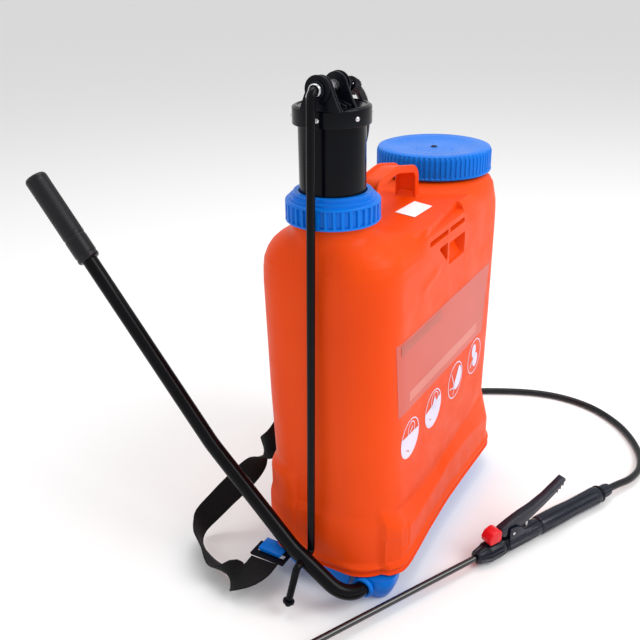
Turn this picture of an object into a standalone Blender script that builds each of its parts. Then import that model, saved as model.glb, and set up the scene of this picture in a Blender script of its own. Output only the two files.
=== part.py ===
"""Knapsack sprayer: moulded tank, lever-driven pump with a plunger chamber, hose, lance and straps.

The tank stands on its base at z = 0. +X runs along the tank from the pump to the filler,
+Y points to the wearer's back and +Z up. All lengths are in metres.
"""

import math

import bmesh
import bpy
from mathutils import Matrix, Vector

# Tank
TANK_HALF_WIDTH = 0.193
TANK_FRONT = -0.084
TANK_BACK = 0.084
TANK_CORNER = 0.050
TANK_BOTTOM = 0.038
TANK_TOP = 0.447
TANK_WALL = 0.003
NECK_WALL = 0.004
GAP = 0.0003

# Pump
PUMP_X = -0.145
PUMP_BORE = 0.0400
PUMP_NECK_TOP = 0.478
CHAMBER_RADIUS = 0.0350
CHAMBER_TOP = 0.5797
CHAMBER_BOTTOM = 0.2303
BARREL_RADIUS = 0.0388
BARREL_BOTTOM = 0.150
RING_RADIUS = 0.050
CAP_RADIUS = 0.0405
CAP_TOP = 0.584

# Filler
FILLER_X = 0.132
FILLER_BORE = 0.0600
FILLER_NECK_TOP = 0.470
FILLER_CAP_RADIUS = 0.0755
FILLER_CAP_TOP = 0.490

# Lever and link rod
LEVER_RADIUS = 0.0093
LEVER_PLANE = -0.2185
PIVOT_Y = -0.058
PIVOT_Z = 0.0225
LINK_RADIUS = 0.0045
LINK_PLANE = -0.203
LINK_LOW = Vector((LINK_PLANE, 0.004, 0.0634))
LINK_HIGH = Vector((LINK_PLANE, -0.010, 0.605))

# Base
PLATE_TOP = TANK_BOTTOM - GAP
PLATE_BOTTOM = 0.0345

# Hose and lance
HOSE_RADIUS = 0.005
LANCE_ORIGIN = Vector((-0.026, -0.177, 0.0135))
LANCE_TURN = math.radians(-27.5)
GRIP_END = 0.186
STRAP_WIDTH = 0.038
STRAP_THICKNESS = 0.0025

ORANGE = (0.90, 0.10, 0.012)
BLUE = (0.004, 0.16, 0.72)
BLACK = (0.012, 0.013, 0.016)
RED = (0.72, 0.012, 0.02)
STEEL = (0.62, 0.62, 0.64)
RUBBER = (0.02, 0.02, 0.022)


def clear_scene():
    for old in list(bpy.data.objects):
        bpy.data.objects.remove(old, do_unlink=True)


def material(name, color, roughness, metallic=0.0):
    made = bpy.data.materials.new(name)
    made.use_nodes = True
    shader = made.node_tree.nodes["Principled BSDF"]
    shader.inputs["Base Color"].default_value = (*color, 1.0)
    shader.inputs["Roughness"].default_value = roughness
    shader.inputs["Metallic"].default_value = metallic
    return made


def add_object(name, bm, color, roughness=0.35, metallic=0.0, sharp=35.0):
    """A mesh object from bm, its faces turned outwards and shaded smooth up to the sharp angle."""
    bmesh.ops.recalc_face_normals(bm, faces=bm.faces[:])
    mesh = bpy.data.meshes.new(name)
    bm.to_mesh(mesh)
    bm.free()
    mesh.shade_smooth()
    mesh.set_sharp_from_angle(angle=math.radians(sharp))
    mesh.materials.append(material(name, color, roughness, metallic))
    made = bpy.data.objects.new(name, mesh)
    bpy.context.scene.collection.objects.link(made)
    return made


def empty(name, location, turn=0.0):
    made = bpy.data.objects.new(name, None)
    made.location = location
    made.rotation_euler = (0.0, 0.0, turn)
    bpy.context.scene.collection.objects.link(made)
    return made


def attach(parent, *children):
    """Parents the children to an empty on their joint's axis, without moving them."""
    for child in children:
        child.parent = parent
        child.matrix_parent_inverse = Matrix.Translation(-Vector(parent.location))


def combine(target, operation, other):
    """Adds a Boolean modifier to target and hides the other shape."""
    modifier = target.modifiers.new(f"{operation.lower()}_{other.name}", "BOOLEAN")
    modifier.operation = operation
    modifier.object = other
    modifier.solver = "EXACT"
    other.hide_render = True
    other.display_type = "WIRE"


def lathe_mesh(profile, segments):
    """A turned solid about Z from (radius, height) points; a profile that starts and ends on the axis is open."""
    bm = bmesh.new()
    rings = []
    for radius, height in profile:
        if radius < 1e-9:
            rings.append([bm.verts.new((0.0, 0.0, height))] * segments)
            continue
        angles = [2 * math.pi * i / segments for i in range(segments)]
        rings.append([bm.verts.new((radius * math.cos(a), radius * math.sin(a), height)) for a in angles])
    closed = profile[0][0] > 1e-9
    pairs = list(zip(rings, rings[1:]))
    if closed:
        pairs.append((rings[-1], rings[0]))
    for low, high in pairs:
        for i in range(segments):
            j = (i + 1) % segments
            corners = []
            for vert in (low[i], low[j], high[j], high[i]):
                if vert not in corners:
                    corners.append(vert)
            if len(corners) > 2:
                bm.faces.new(corners)
    return bm


def lathe(name, profile, place, color, roughness=0.35, axis=(0, 0, 1), segments=32, metallic=0.0):
    made = add_object(name, lathe_mesh(profile, segments), color, roughness, metallic)
    made.location = place
    made.rotation_mode = "QUATERNION"
    made.rotation_quaternion = Vector((0, 0, 1)).rotation_difference(Vector(axis))
    return made


def tube(inner, outer, low, high):
    """The profile of a plain ring between two heights."""
    return [(outer, high), (outer, low), (inner, low), (inner, high)]


def disc(radius, low, high):
    """The profile of a plain cylinder between two heights."""
    return [(0, high), (radius, high), (radius, low), (0, low)]


def box(name, low, high, color=BLACK, roughness=0.4):
    bm = bmesh.new()
    bmesh.ops.create_cube(bm, size=1.0)
    for vert in bm.verts:
        for k in range(3):
            vert.co[k] = low[k] if vert.co[k] < 0 else high[k]
    return add_object(name, bm, color, roughness)


def loft(name, rings, color, roughness=0.35, sharp=35.0):
    """A closed solid through rings that have the same number of points."""
    bm = bmesh.new()
    levels = [[bm.verts.new(point) for point in ring] for ring in rings]
    count = len(levels[0])
    for low, high in zip(levels, levels[1:]):
        for i in range(count):
            j = (i + 1) % count
            bm.faces.new((low[i], low[j], high[j], high[i]))
    bm.faces.new(levels[0])
    bm.faces.new(levels[-1])
    bmesh.ops.recalc_face_normals(bm, faces=bm.faces[:])
    bmesh.ops.triangulate(bm, faces=[face for face in bm.faces if len(face.verts) == 4])
    return add_object(name, bm, color, roughness, sharp=sharp)


def rounded_rectangle(half_width, front, back, radius, z, corner_steps=6):
    """Points round a rectangle with round corners, anticlockwise seen from above."""
    points = []
    corners = (
        (half_width - radius, back - radius, 0.0),
        (radius - half_width, back - radius, 0.5 * math.pi),
        (radius - half_width, front + radius, math.pi),
        (half_width - radius, front + radius, 1.5 * math.pi),
    )
    for x, y, start in corners:
        for step in range(corner_steps + 1):
            angle = start + 0.5 * math.pi * step / corner_steps
            points.append((x + radius * math.cos(angle), y + radius * math.sin(angle), z))
    return points


def extrude_outline(name, outline, low, high, place_axes, color=BLACK, roughness=0.4):
    """A flat outline given a thickness; place_axes turns (u, v, w) into (x, y, z)."""
    bottom = [place_axes(u, v, low) for u, v in outline]
    top = [place_axes(u, v, high) for u, v in outline]
    return loft(name, [bottom, top], color, roughness)


def rounded_path(corners, radii, arc_steps=8):
    """A polyline with its inner corners rounded to the given radii."""
    corners = [Vector(corner) for corner in corners]
    points = [corners[0]]
    for before, corner, after, radius in zip(corners, corners[1:], corners[2:], radii):
        into = (corner - before).normalized()
        out = (after - corner).normalized()
        half_turn = 0.5 * into.angle(out)
        reach = radius * math.tan(half_turn)
        centre = corner + (out - into).normalized() * radius / math.cos(half_turn)
        start = corner - into * reach - centre
        axis = into.cross(out).normalized()
        for step in range(arc_steps + 1):
            turn = Matrix.Rotation(2 * half_turn * step / arc_steps, 3, axis)
            points.append(centre + turn @ start)
    points.append(corners[-1])
    return points


def sweep(name, points, section, color, roughness=0.35, start_side=(0, 0, 1), metallic=0.0):
    """A section of (side, up) points carried along a path without twisting."""
    points = [Vector(point) for point in points]
    side = Vector(start_side)
    rings = []
    for i, point in enumerate(points):
        along = points[min(i + 1, len(points) - 1)] - points[max(i - 1, 0)]
        along.normalize()
        side = (side - along * side.dot(along)).normalized()
        up = along.cross(side)
        rings.append([point + side * a + up * b for a, b in section])
    made = loft(name, rings, color, roughness)
    made.data.materials[0].node_tree.nodes["Principled BSDF"].inputs["Metallic"].default_value = metallic
    return made


def circle(radius, sides):
    angles = [2 * math.pi * i / sides for i in range(sides)]
    return [(radius * math.cos(a), radius * math.sin(a)) for a in angles]


def smooth_route(route, spacing):
    """Evenly spaced points on one smooth curve through the route's points."""
    route = [Vector(point) for point in route]
    ends = [2 * route[0] - route[1]] + route + [2 * route[-1] - route[-2]]
    dense = []
    for a, b, c, d in zip(ends, ends[1:], ends[2:], ends[3:]):
        for step in range(24):
            t = step / 24
            dense.append(
                0.5 * (2 * b + (c - a) * t + (2 * a - 5 * b + 4 * c - d) * t**2 + (3 * b - a - 3 * c + d) * t**3)
            )
    dense.append(route[-1])
    travelled = [0.0]
    for a, b in zip(dense, dense[1:]):
        travelled.append(travelled[-1] + (b - a).length)
    count = max(2, round(travelled[-1] / spacing))
    points = []
    k = 0
    for i in range(count + 1):
        target = travelled[-1] * i / count
        while k < len(dense) - 2 and travelled[k + 1] < target:
            k += 1
        share = (target - travelled[k]) / (travelled[k + 1] - travelled[k])
        points.append(dense[k].lerp(dense[k + 1], min(1.0, share)))
    return points


def hose(name, points):
    curve = bpy.data.curves.new(name, "CURVE")
    curve.dimensions = "3D"
    curve.bevel_depth = HOSE_RADIUS
    curve.bevel_resolution = 2
    curve.use_fill_caps = True
    spline = curve.splines.new("POLY")
    spline.points.add(len(points) - 1)
    for control, point in zip(spline.points, points):
        control.co = (*point, 1.0)
    curve.materials.append(material(name, RUBBER, 0.45))
    made = bpy.data.objects.new(name, curve)
    bpy.context.scene.collection.objects.link(made)
    return made


def tank_level(z, side, front, back, corner=TANK_CORNER):
    """One level of the tank: how far it stands in from the full side, front and back faces."""
    return rounded_rectangle(TANK_HALF_WIDTH - side, TANK_FRONT + front, TANK_BACK - back, corner, z)


def build_tank():
    outer_levels = (
        (TANK_BOTTOM, -0.002, -0.014, -0.006),
        (0.044, -0.002, -0.014, -0.006),
        (0.048, 0.001, -0.011, -0.003),
        (0.095, 0.001, -0.010, -0.003),
        (0.112, 0.003, 0.001, 0.001),
        (0.250, 0.001, -0.001, 0.001),
        (0.405, 0.000, 0.000, 0.000),
        (0.425, 0.003, 0.003, 0.003),
        (0.437, 0.009, 0.009, 0.009),
        (0.444, 0.019, 0.018, 0.018),
        (TANK_TOP, 0.033, 0.031, 0.031),
    )
    tank = loft("tank_shell", [tank_level(*level) for level in outer_levels], ORANGE, 0.32, sharp=50)
    inner_levels = (
        (TANK_BOTTOM + TANK_WALL, 0.006, 0.000, 0.005),
        (0.093, 0.006, 0.000, 0.005),
        (0.112, 0.007, 0.006, 0.005),
        (0.405, 0.004, 0.004, 0.004),
        (0.422, 0.007, 0.007, 0.007),
        (0.434, 0.013, 0.013, 0.013),
        (0.441, 0.023, 0.022, 0.022),
        (TANK_TOP - TANK_WALL, 0.037, 0.036, 0.036),
    )
    rings = [tank_level(z, side, front, back, 0.046) for z, side, front, back in inner_levels]
    hollow = loft("tank_hollow", rings, ORANGE)
    pump_neck = lathe(
        "pump_neck", disc(PUMP_BORE + NECK_WALL, 0.430, PUMP_NECK_TOP), (PUMP_X, 0, 0), ORANGE, segments=36
    )
    filler_neck = lathe(
        "filler_neck", disc(FILLER_BORE + NECK_WALL, 0.405, FILLER_NECK_TOP), (FILLER_X, 0, 0), ORANGE, segments=40
    )
    handle_path = rounded_path(
        [
            (-0.082, -0.0085, 0.440),
            (-0.082, -0.0085, 0.487),
            (-0.030, -0.0085, 0.4945),
            (0.027, -0.0085, 0.483),
            (0.027, -0.0085, 0.440),
        ],
        [0.016, 0.060, 0.016],
        5,
    )
    half_width = 0.014
    half_thickness = 0.004
    section = [(half_width, half_thickness), (-half_width, half_thickness),
               (-half_width, -half_thickness), (half_width, -half_thickness)]
    handle = sweep("carry_handle", handle_path, section, ORANGE, start_side=(0, 1, 0))
    for shape in (pump_neck, filler_neck, handle):
        combine(tank, "UNION", shape)
    bores = (("pump_bore", PUMP_X, PUMP_BORE, 36), ("filler_bore", FILLER_X, FILLER_BORE, 40))
    for name, x, radius, segments in bores:
        bore = lathe(name, disc(radius, 0.4185, 0.520), (x, 0, 0), ORANGE, segments=segments)
        combine(hollow, "UNION", bore)
    combine(tank, "DIFFERENCE", hollow)
    return tank


def build_base():
    """Bottom cover: plate under the tank, keel down to the ground and the lever's bearing tongues."""
    edge = rounded_rectangle(TANK_HALF_WIDTH + 0.0035, TANK_FRONT - 0.0155, TANK_BACK + 0.0075, 0.051, PLATE_BOTTOM)
    top_edge = [(x, y, PLATE_TOP) for x, y, _ in edge]
    base = loft("base_cover", [edge, top_edge], BLUE, 0.3)
    keel_low = rounded_rectangle(0.140, -0.034, 0.050, 0.020, 0.0)
    keel_high = rounded_rectangle(0.148, -0.040, 0.056, 0.026, PLATE_BOTTOM + 0.001)
    combine(base, "UNION", loft("keel", [keel_low, keel_high], BLUE))
    hollow_low = rounded_rectangle(0.134, -0.028, 0.044, 0.014, -0.001)
    hollow_high = rounded_rectangle(0.138, -0.031, 0.047, 0.016, 0.028)
    combine(base, "DIFFERENCE", loft("keel_hollow", [hollow_low, hollow_high], BLUE))
    combine(base, "UNION", box("keel_rib", (-0.136, -0.008, 0.0), (0.136, 0.008, 0.030)))
    tongue_outline = [(-0.188, PLATE_TOP - 0.001), (-0.186, 0.006), (-0.176, 0.0), (-0.160, 0.0),
                      (-0.144, 0.005), (-0.134, 0.015), (-0.129, PLATE_TOP - 0.001)]
    tongue = extrude_outline("tongue", tongue_outline, -0.083, -0.074, lambda u, v, w: (u, w, v))
    combine(base, "UNION", tongue)
    for name, low_x, high_x in (("outer_bearing", -0.184, -0.172), ("inner_bearing", -0.134, -0.122)):
        block = box(name, (low_x, PIVOT_Y - 0.0165, 0.0045), (high_x, PIVOT_Y + 0.0165, PLATE_BOTTOM + 0.001))
        combine(base, "UNION", block)
    bore = lathe("bearing_bore", disc(0.0128, -0.190, -0.115), (0, PIVOT_Y, PIVOT_Z), BLUE, axis=(1, 0, 0), segments=24)
    combine(base, "DIFFERENCE", bore)
    for side in (-1, 1):
        lug = box(f"strap_lug_{side}", (side * 0.190 - 0.011, 0.050, 0.030), (side * 0.190 + 0.011, 0.084, PLATE_BOTTOM + 0.001))
        combine(base, "UNION", lug)
    for index, (x, y) in enumerate(SCREW_PLACES):
        hole = lathe(f"screw_hole_{index}", disc(0.0023, 0.030, 0.040), (x, y, 0), BLUE, segments=12)
        combine(base, "DIFFERENCE", hole)
        profile = [(0, PLATE_TOP - 0.0001), (0.0018, PLATE_TOP - 0.0001), (0.0018, PLATE_BOTTOM - GAP),
                   (0.0042, PLATE_BOTTOM - GAP), (0.0036, 0.0312), (0, 0.0312)]
        lathe(f"base_screw_{index + 1}", profile, (x, y, 0), STEEL, 0.3, segments=12, metallic=1.0)


SCREW_PLACES = ((-0.150, 0.066), (0.150, 0.066), (0.150, -0.074), (-0.105, -0.074))


def build_lever():
    straight = Vector((0, math.cos(math.radians(52)), math.sin(math.radians(52))))
    upper_bend = Vector((LEVER_PLANE, 0.130, 0.186))
    grip_start = upper_bend + straight * 0.263
    grip_length = 0.118
    tube_end = grip_start + straight * (grip_length - 0.0050)
    path = rounded_path(
        [tube_end, upper_bend, (LEVER_PLANE, 0.020, 0.074), (LEVER_PLANE, PIVOT_Y, PIVOT_Z),
         (-0.110, PIVOT_Y, PIVOT_Z)],
        [0.150, 0.060, 0.034],
        8,
    )
    lever = sweep("lever_tube", path, circle(LEVER_RADIUS, 12), BLACK, 0.3, start_side=(1, 0, 0))
    hole = lathe(
        "link_hole", disc(LINK_RADIUS + 0.0006, -0.235, -0.200), (0, LINK_LOW.y, LINK_LOW.z), BLACK,
        axis=(1, 0, 0), segments=16,
    )
    combine(lever, "DIFFERENCE", hole)
    grip_profile = [
        (0, grip_length), (0.0100, grip_length), (0.0128, grip_length - 0.003), (0.0136, grip_length - 0.008),
        (0.0136, 0.002), (0.0128, 0.0), (LEVER_RADIUS + GAP, 0.0),
        (LEVER_RADIUS + GAP, grip_length - 0.0045), (0, grip_length - 0.0045),
    ]
    grip = lathe("lever_grip", grip_profile, grip_start, BLACK, 0.5, axis=straight, segments=24)
    clip = lathe(
        "lever_end_clip", tube(LEVER_RADIUS + GAP, 0.0122, -0.1185, -0.1155), (0, PIVOT_Y, PIVOT_Z), STEEL, 0.3,
        axis=(1, 0, 0), segments=24, metallic=1.0,
    )
    pivot = empty("lever_pivot", (LEVER_PLANE, PIVOT_Y, PIVOT_Z))
    attach(pivot, lever, grip, clip, hole)
    for name, low, high in (("lever_bush_outer", -0.1835, -0.1725), ("lever_bush_inner", -0.1335, -0.1225)):
        lathe(
            name, tube(LEVER_RADIUS + GAP, 0.0125, low, high), (0, PIVOT_Y, PIVOT_Z), BLACK, 0.5,
            axis=(1, 0, 0), segments=24,
        )


def build_link():
    tip = Vector((-0.2505, 0.010, 0.0145))
    elbow = Vector((-0.2360, LINK_LOW.y, LINK_LOW.z))
    high_end = Vector((-0.1400, LINK_HIGH.y, LINK_HIGH.z))
    path = rounded_path([high_end, LINK_HIGH, LINK_LOW, elbow, tip], [0.009, 0.0060, 0.0060], 5)
    rod = sweep("link_rod", path, circle(LINK_RADIUS, 10), BLACK, 0.3)
    shaft = (0, LINK_HIGH.y, LINK_HIGH.z)
    bore = LINK_RADIUS + GAP
    outer_disc = [(0.0125, -0.1890), (0.0125, -0.1903), (0.0085, -0.1903), (0.0085, -0.1912), (0.0125, -0.1912),
                  (0.0125, -0.1925), (bore, -0.1925), (bore, -0.1890)]
    outer = lathe("link_disc_outer", outer_disc, shaft, BLACK, 0.3, axis=(1, 0, 0), segments=28)
    inner_disc = [(0.0130, -0.1475), (0.0130, -0.1495), (bore, -0.1495), (bore, -0.1420), (0.0075, -0.1420),
                  (0.0075, -0.1475)]
    inner = lathe("link_disc_inner", inner_disc, shaft, BLACK, 0.3, axis=(1, 0, 0), segments=28)
    along = (tip - elbow).normalized()
    clip = lathe(
        "link_clip", tube(bore, 0.0070, -0.0085, -0.0055), tip, STEEL, 0.3, axis=along, segments=16, metallic=1.0
    )
    pivot = empty("link_pivot", LINK_LOW)
    attach(pivot, rod, outer, inner, clip)


def eye_plate(name, low, high):
    """A bracket cheek: a round eye over a wide foot, with a slot that lets the link rod's hook tilt."""
    centre_y = LINK_HIGH.y
    centre_z = LINK_HIGH.z
    foot = CAP_TOP + GAP
    outline = [(0.012, foot), (0.009, foot + 0.008)]
    for step in range(13):
        angle = math.radians(20 + 150 * step / 12)
        outline.append((centre_y + 0.0128 * math.cos(angle), centre_z + 0.0128 * math.sin(angle)))
    outline += [(-0.030, foot + 0.005), (-0.033, foot)]
    return extrude_outline(name, outline, low, high, lambda u, v, w: (w, u, v))


def build_pump():
    at = (PUMP_X, 0, 0)
    lathe("pump_gasket", tube(PUMP_BORE + 0.0002, 0.0435, PUMP_NECK_TOP + GAP, 0.4798), at, RUBBER, 0.7)
    barrel = [
        (0.0435, 0.4830), (0.0435, 0.4801), (BARREL_RADIUS, 0.4801), (BARREL_RADIUS, BARREL_BOTTOM),
        (0.0030, BARREL_BOTTOM), (0.0030, BARREL_BOTTOM + 0.005), (0.0362, BARREL_BOTTOM + 0.005), (0.0362, 0.4830),
    ]
    lathe("pump_barrel", barrel, at, (0.75, 0.75, 0.72), 0.4, segments=28)
    seat_top = BARREL_BOTTOM - GAP
    seat = [
        (0.0160, seat_top), (0.0160, 0.1250), (0.0130, 0.1200), (0.0035, 0.1200), (0.0035, 0.1300),
        (0.0065, 0.1300), (0.0065, seat_top),
    ]
    lathe("intake_valve_seat", seat, at, BLACK, 0.4, segments=24)
    ball_radius = 0.0055
    ball = [(ball_radius * math.sin(math.pi * k / 8), 0.1346 + ball_radius * math.cos(math.pi * k / 8)) for k in range(9)]
    ball[0] = (0, ball[0][1])
    ball[-1] = (0, ball[-1][1])
    lathe("intake_ball", ball, at, STEEL, 0.2, segments=14, metallic=1.0)
    ring = [
        (0.0415, 0.4970), (0.0415, 0.4925), (0.0460, 0.4925), (0.0460, 0.4890), (RING_RADIUS - 0.001, 0.4890),
        (RING_RADIUS, 0.4875), (RING_RADIUS, 0.4675), (RING_RADIUS - 0.001, 0.4660), (0.0446, 0.4660),
        (0.0446, 0.4833), (0.0358, 0.4833), (0.0358, 0.4970),
    ]
    lathe("ring_nut", ring, at, BLUE, 0.3, segments=36)

    chamber_wall = [
        (0, CHAMBER_TOP), (CHAMBER_RADIUS, CHAMBER_TOP), (CHAMBER_RADIUS, CHAMBER_BOTTOM),
        (0.0318, CHAMBER_BOTTOM), (0.0318, CHAMBER_TOP - 0.004), (0, CHAMBER_TOP - 0.004),
    ]
    chamber = lathe("pressure_chamber", chamber_wall, at, BLACK, 0.22, segments=32)
    cup = lathe(
        "piston_cup", [(0.0345, 0.2300), (0.0357, 0.2160), (0.0350, 0.2140), (0.0290, 0.2140), (0.0290, 0.2300)], at,
        RUBBER, 0.6, segments=28,
    )
    cap_profile = [
        (0, CAP_TOP), (CAP_RADIUS - 0.0015, CAP_TOP), (CAP_RADIUS, CAP_TOP - 0.0015), (CAP_RADIUS, 0.5660),
        (CHAMBER_RADIUS + GAP, 0.5660), (CHAMBER_RADIUS + GAP, CHAMBER_TOP + GAP), (0, CHAMBER_TOP + GAP),
    ]
    cap = lathe("chamber_cap", cap_profile, at, BLACK, 0.25, segments=32)

    foot = CAP_TOP + GAP
    bracket = box("head_bracket", (-0.184, -0.022, foot), (-0.150, 0.010, foot + 0.004))
    for name, low, high in (("front_eye", -0.1885, -0.1815), ("rear_eye", -0.1565, -0.1500)):
        combine(bracket, "UNION", eye_plate(name, low, high))
    slot = box(
        "rod_slot", (-0.200, LINK_HIGH.y - 0.0080, LINK_HIGH.z - 0.0058),
        (-0.140, LINK_HIGH.y + 0.0080, LINK_HIGH.z + 0.0058),
    )
    combine(bracket, "DIFFERENCE", slot)

    elbow_path = rounded_path([(-0.1180, 0.004, foot), (-0.1180, 0.004, 0.5990), (-0.1050, 0.002, 0.5990)], [0.007], 5)
    elbow = sweep("outlet_elbow", elbow_path, circle(0.0052, 12), BLACK, 0.35, start_side=(0, 1, 0))
    nut = lathe(
        "hose_nut_top", [(0.0085, 0.0120), (0.0085, 0.0010), (0.0054, 0.0010), (0.0054, 0.0120)],
        (-0.1050, 0.002, 0.5990), BLACK, 0.35, axis=HOSE_START_DIRECTION, segments=16,
    )
    stroke = empty("chamber_stroke", (PUMP_X, 0, CHAMBER_TOP))
    attach(stroke, chamber, cup, cap, bracket, elbow, nut)


def build_filler():
    at = (FILLER_X, 0, 0)
    neck_top = FILLER_NECK_TOP + GAP
    strainer_profile = [
        (0, 0.4070), (0.0480, 0.4070), (0.0560, neck_top + 0.0015), (0.0635, neck_top + 0.0015),
        (0.0635, neck_top), (0.0580, neck_top), (0.0500, 0.4050), (0, 0.4050),
    ]
    strainer = lathe("filler_strainer", strainer_profile, at, BLACK, 0.5, segments=30)
    gasket = lathe("filler_gasket", tube(0.0570, 0.0635, 0.4721, 0.4741), at, RUBBER, 0.7, segments=30)
    radius = FILLER_CAP_RADIUS
    cap_profile = [
        (0.0028, FILLER_CAP_TOP - 0.003), (0.0500, FILLER_CAP_TOP - 0.003), (0.0640, FILLER_CAP_TOP),
        (radius - 0.006, FILLER_CAP_TOP), (radius - 0.0015, FILLER_CAP_TOP - 0.003), (radius, FILLER_CAP_TOP - 0.008),
        (radius, 0.4605), (radius - 0.0015, 0.4590), (0.0645, 0.4590), (0.0645, 0.4744), (0.0028, 0.4744),
    ]
    cap = lathe("filler_cap", cap_profile, at, BLUE, 0.3, segments=40)
    vent_profile = [
        (0, FILLER_CAP_TOP - 0.0012), (0.0030, FILLER_CAP_TOP - 0.0012), (0.0045, FILLER_CAP_TOP - 0.0027),
        (0.0022, FILLER_CAP_TOP - 0.0027), (0.0022, 0.4700), (0, 0.4700),
    ]
    vent = lathe("vent_valve", vent_profile, at, BLACK, 0.5, segments=14)
    lift = empty("filler_lift", (FILLER_X, 0, FILLER_NECK_TOP))
    attach(lift, strainer, gasket, cap, vent)


HOSE_START_DIRECTION = (0.90, -0.10, -0.42)
HOSE_DROP_ROUTE = (
    (-0.0939, 0.0008, 0.5938), (-0.0860, -0.0010, 0.5880), (-0.0790, -0.0030, 0.5740), (-0.0750, -0.0020, 0.5520),
    (-0.0720, 0.0040, 0.5290), (-0.0680, 0.0180, 0.5090), (-0.0620, 0.0400, 0.4940), (-0.0560, 0.0660, 0.4830),
    (-0.0510, 0.0890, 0.4650), (-0.0480, 0.1010, 0.4350), (-0.0460, 0.1050, 0.3900), (-0.0440, 0.1060, 0.3000),
    (-0.0400, 0.1060, 0.2000), (-0.0340, 0.1060, 0.1100), (-0.0260, 0.1065, 0.0620), (-0.0100, 0.1080, 0.0280),
    (0.0150, 0.1100, 0.0110), (0.0480, 0.1120, 0.0058),
)
HOSE_FLOOR_ROUTE = (
    (0.0489, 0.1120, 0.0058), (0.0900, 0.1130, 0.0054), (0.1500, 0.1110, 0.0054), (0.2100, 0.1020, 0.0054),
    (0.2700, 0.0790, 0.0054), (0.3200, 0.0390, 0.0054), (0.3600, -0.0200, 0.0054), (0.3920, -0.0900, 0.0054),
    (0.4020, -0.1460, 0.0054), (0.3920, -0.2000, 0.0054), (0.3640, -0.2440, 0.0054), (0.3300, -0.2740, 0.0054),
    (0.2880, -0.2960, 0.0056), (0.2460, -0.3040, 0.0070), (0.2080, -0.2980, 0.0100), (0.1780, -0.2832, 0.0126),
    (0.1606, -0.2741, 0.0135),
)


def build_hose():
    hose("hose_drop", smooth_route(HOSE_DROP_ROUTE, 0.0150))
    hose("hose_floor", smooth_route(HOSE_FLOOR_ROUTE, 0.0190))


def lance_piece(made, frame):
    """Parents a piece that was made in the lance's own frame."""
    made.parent = frame
    return made


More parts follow.
